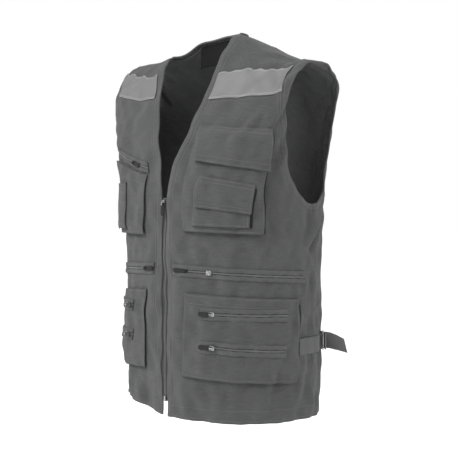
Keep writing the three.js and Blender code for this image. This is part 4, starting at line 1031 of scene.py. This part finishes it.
# Section of a lip, from its sewn edge to its fold: distance and height
LIP = {
    "away": (-0.0048, -0.0046, -0.0036, -0.0012, 0.0012, 0.0019, 0.0021),
    "raised": (0.0, 0.00088, 0.00143, 0.00154, 0.00132, 0.00099, 0.00011),
}
LIP_MIDDLE = 0.0052
LIP_THICK = 0.0007
LIP_WAVE = 0.0004
LIP_WAVE_LENGTH = 0.021
ZIP_STEP = 0.004
ZIP_TAPE_HALF = 0.0045
ZIP_TAPE_THICK = 0.0006
TOOTH = (0.0006, 0.0011, 0.0010)
TOOTH_OFFSET = 0.0006
TOOTH_PITCH = 0.0011


def dark_plastic(name, grey, rough):
    """Moulded plastic or enamel, slightly scuffed."""
    finish = Finish(name)
    scuff = finish.noise(0.003, 4, 0.7)
    finish.set(
        Base_Color=finish.blend(scuff, rgb(grey * 0.8), rgb(grey * 1.25)),
        Roughness=scuff * 0.25 + (rough - 0.1),
        Normal=finish.bump(scuff, 0.0001, 0.5),
    )
    finish.shader.inputs["Specular IOR Level"].default_value = 0.25
    return finish.material


teeth_finish = dark_plastic("zip teeth", 0.12, 0.4)
tape_finish = twill("pocket zip tape", 0.022, pitch=0.0008)


def boxes(centres, along, aside, out, half):
    """Many small bevelled blocks: centres and three unit directions, with half sizes."""
    ring = [(-1, -1), (1, -1), (1, 1), (-1, 1)]
    corners = [(x, y, 0.0, 1.0) for x, y in ring] + [(x, y, 0.6, 1.0) for x, y in ring]
    corners += [(x, y, 1.0, 0.66) for x, y in ring]
    shape = np.array([(x * shrink, y * shrink, z) for x, y, z, shrink in corners])
    spots = (centres[:, None] + shape[None, :, :1] * along[:, None] * half[0]
             + shape[None, :, 1:2] * aside[:, None] * half[1] + shape[None, :, 2:] * out[:, None] * half[2])
    faces = [(3, 2, 1, 0), (8, 9, 10, 11)]
    for level in (0, 4):
        for k in range(4):
            low, high = level + k, level + (k + 1) % 4
            faces.append((low, high, high + 4, low + 4))
    faces = np.array(faces)[None] + np.arange(len(centres))[:, None, None] * 12
    return spots.reshape(-1, 3), faces.reshape(-1, 4)


def unit(vectors):
    return vectors / np.maximum(np.linalg.norm(vectors, axis=-1, keepdims=True), 1e-9)


def tooth_row(name, places, lift, half, offset, slot, node=None):
    """Teeth along evenly spaced places, set alternately to either side."""
    points = cloth_point(places[:, 0], places[:, 1], lift)
    normal = body_steps(places[:, 0], places[:, 1])[2]
    along = unit(np.gradient(points, axis=0))
    aside = np.cross(normal, along)
    hands = np.where(np.arange(len(points)) % 2 == 0, 1.0, -1.0)[:, None]
    vertices, faces = boxes(points + aside * hands * offset, along, aside, normal, half)
    piece = make_piece(name, vertices, faces.tolist(), [teeth_finish], smooth=False)
    return sewn(piece, slot, *([node] if node else []))


zip_ends = {}
for name, (start, end, drop, drop_out, on, side) in ZIPS.items():
    first = place_at(start, drop, side)
    last = place_at(end, drop_out, side)
    zip_ends[name] = (first, last, on)
    length = round(end - start, 6)
    count = int(length / ZIP_STEP)
    line = first + (last - first) * np.linspace(0, 1, count + 1)[:, None]
    climb = np.linalg.norm(body_steps(line[:, 0], line[:, 1])[1], axis=1)

    def strip(offsets, raised):
        spots = np.repeat(line[:, None], len(offsets), 1)
        spots[..., 1] += np.asarray(offsets)[None] / climb[:, None]
        return spots, lift_below(on, spots) + STACK_GAP + np.asarray(raised)[None]

    turned = 1 if side > 0 else -1
    spots, out = strip((-ZIP_TAPE_HALF, 0, ZIP_TAPE_HALF), (ZIP_TAPE_THICK,) * 3)
    spots, out = spots[::-turned], out[::-turned]
    points = cloth_point(spots[..., 0], spots[..., 1], out)
    sewn(sewn_sheet(name + "_tape", points, ZIP_TAPE_THICK, [tape_finish]), "teeth", name)
    for word, hand in (("upper", 1), ("lower", -1)):
        offsets = [hand * LIP_MIDDLE - hand * away for away in LIP["away"]]
        turns = np.linspace(0, length / LIP_WAVE_LENGTH * 2 * math.pi, count + 1)
        bend = LIP_WAVE * np.sin(turns + (hand > 0))[:, None]
        spots, out = strip(offsets, LIP["raised"])
        spots[..., 1] += bend / climb[:, None]
        spots, out = spots[::turned * -hand], out[::turned * -hand]
        points = cloth_point(spots[..., 0], spots[..., 1], out)
        sewn(sewn_sheet(f"{name}_{word}_lip", points, LIP_THICK, [band_finish]), "cloth")
    teeth_line = first + (last - first) * np.linspace(0.01, 0.99, int(length / TOOTH_PITCH))[:, None]
    teeth_lift = lift_below(on, teeth_line) + STACK_GAP + ZIP_TAPE_THICK
    tooth_row(name + "_teeth", teeth_line, teeth_lift, TOOTH, TOOTH_OFFSET, "teeth")

# Front zip: a woven tape sewn behind each bound edge, and a closed row of dark moulded teeth from
# the stop near the hem up to the foot of the V neck.
TAPE_OUT = -0.0008
TAPE_THICK = 0.0013
CHAIN_THICK = 0.0032
ZIP_FOOT = 0.026
STOP_LENGTH = 0.009
CHAIN_PITCH = 0.00155
CHAIN_TOOTH = (0.00068, 0.0017, CHAIN_THICK)
CHAIN_OFFSET = 0.0009
FRONT_TAPE_OFFSETS = (0.0008, 0.002, 0.005, 0.009, 0.0143)
zip_foot_rise = float(rise_at_height(0.0, ZIP_FOOT - LENGTH))
stop_rise = float(rise_at_height(0.0, ZIP_FOOT + STOP_LENGTH - LENGTH))
zip_rises = np.linspace(zip_foot_rise, v_rise, 100)
front_tape_finish = twill("front zip tape", 0.050, pitch=0.0008)
for name, side in (("zip_tape_left", 1), ("zip_tape_right", -1)):
    turns = np.stack([turn_at_half(zip_rises, offset) for offset in FRONT_TAPE_OFFSETS], -1)
    rises = np.broadcast_to(zip_rises[:, None], turns.shape)
    places = sided(np.stack([turns, rises], -1), side)
    points = cloth_point(places[..., 0], places[..., 1], TAPE_OUT)
    sewn(sewn_sheet(name + "_cloth", points, TAPE_THICK, [front_tape_finish]), "band", name)
chain_teeth = int((v_rise - stop_rise) * (LENGTH - CHEST_DROP) / CHAIN_PITCH)
chain_rises = np.linspace(stop_rise + 0.002, v_rise, chain_teeth)
chain_line = np.stack([np.zeros_like(chain_rises), chain_rises], -1)
chain_lift = TAPE_OUT - TAPE_THICK
tooth_row("zip_chain_teeth", chain_line, chain_lift, CHAIN_TOOTH, CHAIN_OFFSET, "teeth", "zip_chain")

# Reflective tape: a band of fine glass beads on grey cloth between woven borders, sewn flat across
# each front shoulder from the neck to the armhole. It has taken on the cloth's tucks and waves.
REFLECT_HEIGHT = 0.046
REFLECT_THICK = 0.001
REFLECT_BORDER = 0.0045
REFLECT_ROWS = 27
REFLECT_COLUMNS = 61
# Each tape's side, the drop of its top below the neck point, and its climb towards the armhole
REFLECTIVE = {"reflective_left": (1, 0.069, 0.006), "reflective_right": (-1, 0.057, 0.018)}
TAPE_CLEAR = 0.002
tape_neck = inset_edge(front_edge, FRONT_BAND + TAPE_CLEAR, 1, None, "climb")
tape_arm = inset_edge(arm_front, ARMHOLE_BAND + TAPE_CLEAR, -1, "turn", "climb")


def at_drop(edge, drop, side):
    """Place on an edge at a drop below the neck point."""
    heights = body_point(edge[:, 0] * side, edge[:, 1])[:, 2]
    index = int(np.argmax(heights > -drop))
    share = (-drop - heights[index - 1]) / (heights[index] - heights[index - 1])
    return edge[index - 1] + (edge[index] - edge[index - 1]) * share


def reflective(name, tall):
    """Beaded grey cloth between woven borders, on a tape of a given height."""
    finish = Finish(name)
    across, up = finish.flat()
    beads = finish.noise(0.0006, 2, 0.6)
    wear = finish.noise(0.018, 5, 0.65)
    edge = (up - tall / 2).size()
    border = 1 - edge.below(tall / 2 - REFLECT_BORDER)
    weave = ((across + up) * (2 * math.pi / 0.0009)).wave() * 0.5 + 0.5
    sheet_tone = finish.blend(wear, rgb(0.105), rgb(0.145))
    border_tone = finish.blend(weave, rgb(0.15), rgb(0.22))
    finish.set(
        Base_Color=finish.blend(border, sheet_tone, border_tone),
        Roughness=wear * 0.2 + border * 0.2 + 0.55,
        Metallic=0.12 - border * 0.12,
        Normal=finish.bump(beads + weave * border + wear * 2, 0.0002, 0.6),
    )
    return finish.material


def tuck(across, up, foot, lean, width, out):
    """Slanting tuck or ridge across the tape, from a share along its lower edge."""
    return out * np.exp(-((across - foot - lean * up) / width) ** 2)


reflect_places = {}
for name, (side, top, lean) in REFLECTIVE.items():
    shares = np.linspace(0, 1, REFLECT_ROWS)
    columns = np.linspace(0, 1, REFLECT_COLUMNS)
    rows = []
    for share in shares:
        drop = top + REFLECT_HEIGHT * (1 - share)
        start, end = at_drop(tape_neck, drop, side), at_drop(tape_arm, drop - lean, side)
        rows.append(start + (end - start) * columns[:, None])
    places = np.array(rows)
    across, up = np.meshgrid(columns, shares)
    reflect_places[name] = places
    ripple = 0.0006 * np.sin(across * 23 + up * 2.5) * up + 0.0005 * np.sin(across * 9 + 1.5 + up * 5)
    if side > 0:
        ripple = ripple + tuck(across, up, 0.30, 0.10, 0.030, -0.0014) * smooth_step(up, -0.2, 0.9)
        ripple = ripple + tuck(across, up, 0.39, 0.12, 0.055, 0.0012)
    else:
        ripple = ripple + tuck(across, up, 0.70, -0.5, 0.05, -0.0018)
        ripple = ripple + tuck(across, up, 0.87, -0.5, 0.07, 0.0014)
    rows_rise = np.linalg.norm(body_steps(places[..., 0], places[..., 1])[1], axis=-1)
    places = places.copy()
    places[..., 1] += (0.0016 * np.sin(across * 19 + 1) + 0.0011 * np.sin(across * 41)) * up / rows_rise
    if side < 0:
        places, ripple = (places * (-1, 1))[:, ::-1], ripple[:, ::-1]
    edge_drop = 0.0005 * (np.abs(up - 0.5) > 0.49)
    lift = SEAT + REFLECT_THICK + SEAM_RAISE + ripple - edge_drop
    points = cloth_point(places[..., 0], places[..., 1], lift)
    middle_column = points[:, REFLECT_COLUMNS // 2]
    tall = float(np.linalg.norm(np.diff(middle_column, axis=0), axis=1).sum())
    finish = reflective(name.replace("_", " "), tall)
    sewn(sewn_sheet(name + "_tape", points, REFLECT_THICK, [finish]), "reflective", name)

# Label: a black satin tab, sewn by its top edge to the inside of the back neck's band. It hangs
# free, slightly waved, and is left bare.
LABEL_WIDTH = 0.078
LABEL_HEIGHT = 0.042
LABEL_DROP = 0.007
LABEL_THICK = 0.001
LABEL_OUT = -0.0013
LABEL_WAVE = 0.0012
neck_turn_step, neck_climb_step, _ = body_steps(np.array(math.pi), np.array(2 - neck_fall))
label_half = LABEL_WIDTH / 2 / np.linalg.norm(neck_turn_step)
label_climb = np.linalg.norm(neck_climb_step)
label_rows, label_columns = np.linspace(0, 1, 22), np.linspace(0, 1, 40)
label_up, label_across = np.meshgrid(label_rows, label_columns, indexing="ij")
label_angle = math.pi + label_half * (1 - 2 * label_across)
label_rise = 2 - neck_fall - LABEL_DROP / label_climb


def satin(name, grey):
    """Close satin weave with a few thicker threads."""
    finish = Finish(name)
    across, up = finish.flat()
    weave = (up * (2 * math.pi / 0.0006)).wave() * 0.5 + 0.5
    slub = finish.noise(0.004, 3)
    finish.set(
        Base_Color=finish.blend(weave * 0.5 + slub * 0.5, rgb(grey * 0.7), rgb(grey * 1.4)),
        Roughness=slub * 0.2 + 0.6,
        Normal=finish.bump(weave + slub, 0.0001, 0.5),
    )
    finish.shader.inputs["Specular IOR Level"].default_value = 0.12
    return finish.material


label_points = cloth_point(label_angle, label_rise, LABEL_OUT)
label_hang = np.array((0, -0.10, -1)) * LABEL_HEIGHT
label_points = label_points + label_hang * (1 - label_up[..., None])
label_points[..., 1] += LABEL_WAVE * np.sin(label_across * 6) * (1 - label_up)
label_finish = satin("label satin", 0.006)
label = sewn_sheet("neck_label_cloth", label_points[:, ::-1], LABEL_THICK, [label_finish])
sewn(label, "label", "neck_label")

# Stitching: grey thread in even stitches along every seam, hem, band, pocket, flap and zip. Each
# stitch is a short round length of thread whose ends dip into the cloth.
STITCH_PITCH = 0.0032
STITCH_LENGTH = 0.0023
STITCH_THICK = 0.00036
STITCH_SIDES = 6
STITCH_LIFT = 0.0001
# Distances of the lines of stitches from the edges that they follow
EDGE_STITCH = 0.0022
BAND_INNER = 0.0018
BESIDE_BAND = 0.0035
ARMHOLE_EDGE = 0.002
BESIDE_ARMHOLE = (0.004, 0.009)
HEM_LINES = (0.004, 0.022)
BELOW_TAPE = 0.0054
thread_look = Finish("grey thread")
twist = thread_look.noise(0.0006, 2)
thread_look.set(
    Base_Color=thread_look.blend(twist, rgb(0.10), rgb(0.16)),
    Roughness=twist * 0.2 + 0.6,
    Normal=thread_look.bump(twist, 0.0001, 0.5),
)
seams = {}


def seam(group, points, normals):
    """Stitches along a line of points, gathered under a name."""
    length = np.concatenate([[0], np.cumsum(np.linalg.norm(np.diff(points, axis=0), axis=1))])
    count = int(length[-1] / STITCH_PITCH)
    at = (np.arange(count) + 0.5) * length[-1] / count
    spot = np.stack([np.interp(at, length, points[:, k]) for k in range(3)], -1)
    out = unit(np.stack([np.interp(at, length, normals[:, k]) for k in range(3)], -1))
    ahead = np.stack([np.interp(at + 0.0005, length, points[:, k]) for k in range(3)], -1)
    behind = np.stack([np.interp(at - 0.0005, length, points[:, k]) for k in range(3)], -1)
    seams.setdefault(group, []).append((spot, unit(ahead - behind), out))


def stitch_places(group, places, lift):
    points = cloth_point(places[:, 0], places[:, 1], lift + STITCH_LIFT)
    seam(group, points, body_steps(places[:, 0], places[:, 1])[2])


def finer(places):
    """The same line with more places along it."""
    at = np.linspace(0, len(places) - 1, 160)
    return np.stack([np.interp(at, np.arange(len(places)), places[:, k]) for k in range(2)], -1)


# Bands and front panels: along both edges of each band, beside them, and at hem, side and shoulder
for word, side in (("left", 1), ("right", -1)):
    hand = (side, 1)
    for away in (EDGE_STITCH, FRONT_BAND - BAND_INNER):
        line = inset_edge(front_edge, away, 1, None, "climb")
        stitch_places("band_" + word, line[1:] * hand, BAND_OUT)
    line = inset_edge(front_edge, FRONT_BAND + BESIDE_BAND, 1, None, "climb")
    stitch_places("front_" + word, line[1:] * hand, CLOTH)
    for away in (ARMHOLE_EDGE, ARMHOLE_BAND - BAND_INNER):
        fore = inset_edge(arm_front, away, -1, "turn", "climb")
        aft = inset_edge(arm_back[side], away, 1, "turn", "climb")
        stitch_places("band_" + word, np.vstack([fore, aft[-2::-1]]) * hand, BAND_OUT)
    for away in BESIDE_ARMHOLE:
        fore = inset_edge(arm_front, ARMHOLE_BAND + away, -1, "turn", "climb")
        stitch_places("front_" + word, fore[2:] * hand, CLOTH)
    for height in HEM_LINES:
        turns = np.linspace(0.09, math.pi - 0.02, 150)
        hem = np.stack([turns, np.full(150, height / (LENGTH - CHEST_DROP))], -1)
        stitch_places("front_" + word, hem * hand, CLOTH)
    side_seam = np.stack([np.full(120, SIDE_TURN + 0.012), np.linspace(0.01, under_rise - 0.04, 120)], -1)
    stitch_places("front_" + word, side_seam * hand, CLOTH)
    stitch_places("band_" + word, neck_inset(EDGE_STITCH) * hand, BAND_OUT)
    shoulder_line = np.stack([np.linspace(neck_turn + 0.16, tip_turn - 0.05, 60), np.full(60, 1.985)], -1)
    stitch_places("front_" + word, shoulder_line * hand, CLOTH)
    places = reflect_places["reflective_" + word]
    for row in (1, -2):
        stitch_places("tape_" + word, finer(places[row]) * hand, SEAT + REFLECT_THICK + STACK_GAP)
    below = places[0].copy()
    below[:, 1] -= BELOW_TAPE / (LENGTH - CHEST_DROP)
    stitch_places("front_" + word, finer(below) * hand, CLOTH)

# Pockets, flaps and zips: inside each edge, along the hems, and beside the lips
PATCH_EDGE = np.linspace(0.02, 0.98, 90)
POCKET_STITCH = 0.0035
POCKET_HEM = 0.0175
FLAP_STITCH = 0.003
FLAP_SECOND = 0.009
FLAP_HEM_SHARE = 0.16
LIP_STITCH = 0.0068
LIP_STITCH_OUT = 0.0015


def patch_lines(across_shares, up_shares):
    """Lines up a patch at shares across it, then lines across it at shares up it."""
    lines = [(np.full(len(PATCH_EDGE), share), PATCH_EDGE) for share in across_shares]
    return lines + [(PATCH_EDGE, np.full(len(PATCH_EDGE), share)) for share in up_shares]


for name, row in POCKETS.items():
    wide, tall = row["outer"] - row["inner"], row["foot"] - row["top"]
    group = "pocket_" + name.rsplit("_", 1)[1]
    aside, high = POCKET_STITCH / wide, POCKET_STITCH / tall
    for across, up in patch_lines((aside, 1 - aside), (high, 1 - high, 1 - POCKET_HEM / tall)):
        places = on_patch(pocket_corners[name], across, up)
        stitch_places(group, places, pocket_face(name, places, across, up, np.ones(1)))
for name, row in FLAPS.items():
    wide, tall = row["outer"] - row["inner"], row["foot"] - row["top"]
    aside, high = FLAP_STITCH / wide, FLAP_STITCH / tall
    ups = (high, FLAP_HEM_SHARE, 1 - high, 1 - FLAP_SECOND / tall)
    for across, up in patch_lines((aside, 1 - aside), ups):
        places = on_patch(flap_corners[name], across, up)
        stitch_places("pocket_left", places, flap_face(name, places, across, up))
for name, (first, last, on) in zip_ends.items():
    group = "pocket_" + name.rsplit("_", 1)[1]
    for hand in (1, -1):
        line = first + (last - first) * np.linspace(0.01, 0.99, 90)[:, None]
        climb = np.linalg.norm(body_steps(line[:, 0], line[:, 1])[1], axis=1)
        line[:, 1] += hand * LIP_STITCH / climb
        stitch_places(group, line, lift_below(on, line) + STACK_GAP + LIP_STITCH_OUT)


def stitched(group, slot):
    """Makes the gathered stitches of a name as one piece of thread."""
    spot, along, out = (np.vstack(parts) for parts in zip(*seams[group]))
    aside = np.cross(out, along)
    turns = np.arange(STITCH_SIDES) * 2 * math.pi / STITCH_SIDES
    shape = [(-0.5, 0, -0.3)]
    for station in (-0.3, 0.3):
        shape += [(station, 0.85 * math.cos(turn), 0.85 * math.sin(turn)) for turn in turns]
    shape = np.array(shape + [(0.5, 0, -0.3)])
    vertices = (spot[:, None] + shape[None, :, :1] * along[:, None] * STITCH_LENGTH
                + shape[None, :, 1:2] * aside[:, None] * STITCH_THICK
                + shape[None, :, 2:] * out[:, None] * STITCH_THICK).reshape(-1, 3)
    base = np.arange(len(spot))[:, None] * len(shape)
    faces = []
    for k in range(STITCH_SIDES):
        near, far = 1 + k, 1 + (k + 1) % STITCH_SIDES
        near_end, far_end = near + STITCH_SIDES, far + STITCH_SIDES
        tip_end = len(shape) - 1
        for face in ((0, far, near), (near, far, far_end, near_end), (near_end, far_end, tip_end)):
            faces += (base + np.array(face)).tolist()
    piece = make_piece("stitches_" + group, vertices, faces, [thread_look.material])
    sewn(piece, slot)


# Side adjusters: woven webbing, sewn to the panel in front of the side and turned round one bar of
# a steel buckle. A second strap comes from the back round the other bar, and its end hangs free.
STRAP_WIDTH = 0.030
STRAP_THICK = 0.0016
STRAP_HEIGHT = -0.564
STRAP_START = 0.273
BUCKLE_TURN = math.radians(124)
BUCKLE_BAR_PITCH = 0.009
BUCKLE_LIFT = 0.007
STRAP_BEND = 0.0032
WEB_ROUND = {
    "share": np.array((0, 0.02, 0.07, 0.2, 0.4, 0.6, 0.8, 0.93, 0.98, 1)),
    "drop": np.array((0.45, 0.2, 0.05, 0, 0, 0, 0, 0.05, 0.2, 0.45)),
}
TAIL_LENGTH = 0.042
TAIL_FLARE = 0.010
# Height and turn of the free end, at shares along its strap
DROOP = ((0, 0.78, 0.86, 0.93, 1), (0, 0, -0.0015, -0.006, -0.013))
TWIST = ((0, 0.78, 0.88, 1), (0, 0, 0.25, 0.62))
LEVEL = ((0, 1), (0, 0))
web_finish = twill("strap webbing", 0.078, pitch=0.0014)


def webbing(name, path, heights, turned, node, sign):
    """Strap along a path of points seen from above. Heights move its middle up or down, and
    turned twists it about its own line. The path's corners are smoothed first."""
    fine = np.linspace(0, len(path) - 1, 90)
    path = np.stack([np.interp(fine, np.arange(len(path)), path[:, k]) for k in range(2)], -1)
    kernel = np.array((1, 4, 6, 4, 1)) / 16
    padded_path = np.vstack([path[:1], path[:1], path, path[-1:], path[-1:]])
    path = np.stack([np.convolve(padded_path[:, k], kernel, "valid") for k in range(2)], -1)
    share = np.linspace(0, 1, len(path))
    heights, turned = np.interp(share, *heights), np.interp(share, *turned)
    along = unit(np.gradient(path, axis=0))
    out = np.stack([along[:, 1], -along[:, 0], np.zeros(len(path))], -1) * sign
    up = np.array((0, 0, 1.0)) * np.cos(turned)[:, None] + out * np.sin(turned)[:, None]
    face = out * np.cos(turned)[:, None] - np.array((0, 0, 1.0)) * np.sin(turned)[:, None]
    middle = np.concatenate([path, (STRAP_HEIGHT + heights)[:, None]], 1)
    across = (WEB_ROUND["share"] - 0.5) * STRAP_WIDTH
    points = (middle[:, None] + up[:, None] * across[None, :, None]
              + face[:, None] * ((1 - WEB_ROUND["drop"]) * STRAP_THICK / 2)[None, :, None])
    if sign < 0:
        points = points[::-1]
    sewn(sewn_sheet(name, points[:, ::-1], STRAP_THICK, [web_finish]), "cloth", node)
    for place in (0.1, 0.9):
        line = middle + up * (place - 0.5) * STRAP_WIDTH + face * (STRAP_THICK / 2 + 0.0002)
        seam("strap", line, face)


strap_rise = float(rise_at_height(BUCKLE_TURN, STRAP_HEIGHT))
strap_start = abs(place_at(STRAP_START, -STRAP_HEIGHT)[0])
for word, side in (("left", 1), ("right", -1)):
    def on_cloth(turns):
        turns = np.asarray(turns)
        return cloth_point(side * turns, np.full(len(turns), strap_rise), SEAT + STRAP_THICK / 2)[:, :2]

    centre = cloth_point(np.array([side * BUCKLE_TURN]), np.array([strap_rise]), BUCKLE_LIFT)[0, :2]
    turn_step, _, out_step = body_steps(np.array(side * BUCKLE_TURN), np.array(strap_rise))
    strap_way, strap_out = unit(turn_step[:2]) * side, unit(out_step[:2])

    def near_buckle(t, n):
        return np.atleast_2d(centre + strap_way * t + strap_out * n)

    def round_bar(middle, hand, shares):
        """Turn of the strap round a bar, as shares of half a turn."""
        turns = np.array(shares) * math.pi
        reach, rise = hand * STRAP_BEND * np.sin(turns), STRAP_BEND * np.cos(turns)
        return [near_buckle(middle + t, -n) for t, n in zip(reach, rise)]

    bend = round_bar(-BUCKLE_BAR_PITCH, 1, np.linspace(0, 1, 6))
    front = on_cloth(np.linspace(strap_start, BUCKLE_TURN - 0.13, 14))
    path = np.vstack([
        front, near_buckle(-BUCKLE_BAR_PITCH - 0.006, -STRAP_BEND - 0.0007), *bend,
        near_buckle(-BUCKLE_BAR_PITCH - 0.007, STRAP_BEND - 0.0008),
        near_buckle(-BUCKLE_BAR_PITCH - 0.015, STRAP_BEND - 0.002),
    ])
    webbing(f"side_strap_{word}_web", path, LEVEL, LEVEL, f"side_strap_{word}", side)
    back = on_cloth(np.linspace(BUCKLE_TURN + 0.52, BUCKLE_TURN + 0.14, 12))
    bend = round_bar(BUCKLE_BAR_PITCH, -1, (0, 0.2, 0.4))
    tail = [
        near_buckle(BUCKLE_BAR_PITCH - STRAP_BEND + TAIL_FLARE * share ** 2, TAIL_LENGTH * share)
        for share in (0.1, 0.25, 0.45, 0.7, 1)
    ]
    path = np.vstack([back, near_buckle(BUCKLE_BAR_PITCH + 0.005, -STRAP_BEND - 0.0005), *bend, *tail])
    webbing(f"side_tail_{word}_web", path, DROOP, TWIST, f"side_tail_{word}", -side)

for group in list(seams):
    stitched(group, "band" if group.startswith("band") else "cloth")

# Zip sliders, pulls, stop and buckles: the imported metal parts. The sliders are die-cast zinc,
# blackened on the zips that lie on the panels, the pulls are enamelled and the buckles are steel.


def cast_metal(name, grey, rough):
    """Cast metal with fine scratches and darker patches in its hollows."""
    finish = Finish(name)
    scratches = finish.noise(0.0012, 6, 0.8)
    patina = finish.noise(0.003, 4, 0.6)
    finish.set(
        Base_Color=finish.blend(((patina - 0.38) * 4).most(0).least(1), rgb(grey * 0.4), rgb(grey)),
        Metallic=1.0,
        Roughness=patina * 0.2 + rough,
        Normal=finish.bump(scratches, 0.00008, 0.5),
    )
    return finish.material


BLACK_SLIDERS = ("waist_slider_left", "waist_slider_right", "chest_slider_right")
silver_finish = cast_metal("die-cast zinc", 0.5, 0.26)
dull_finish = cast_metal("blackened zinc", 0.07, 0.34)
pull_finish = dark_plastic("dark enamel", 0.010, 0.45)
buckle_finish = cast_metal("buckle steel", 0.66, 0.28)
for item in bpy.data.objects:
    if item.type != "MESH" or item.name.startswith("stitches"):
        continue
    finish = None
    if item.name in BLACK_SLIDERS:
        finish = dull_finish
    elif "_slider" in item.name or item.name == "zip_stop":
        finish = silver_finish
    elif "_pull" in item.name:
        finish = pull_finish
    elif item.name.startswith("side_buckle"):
        finish = buckle_finish
    if finish is not None:
        for surface in item.material_slots:
            surface.material = finish
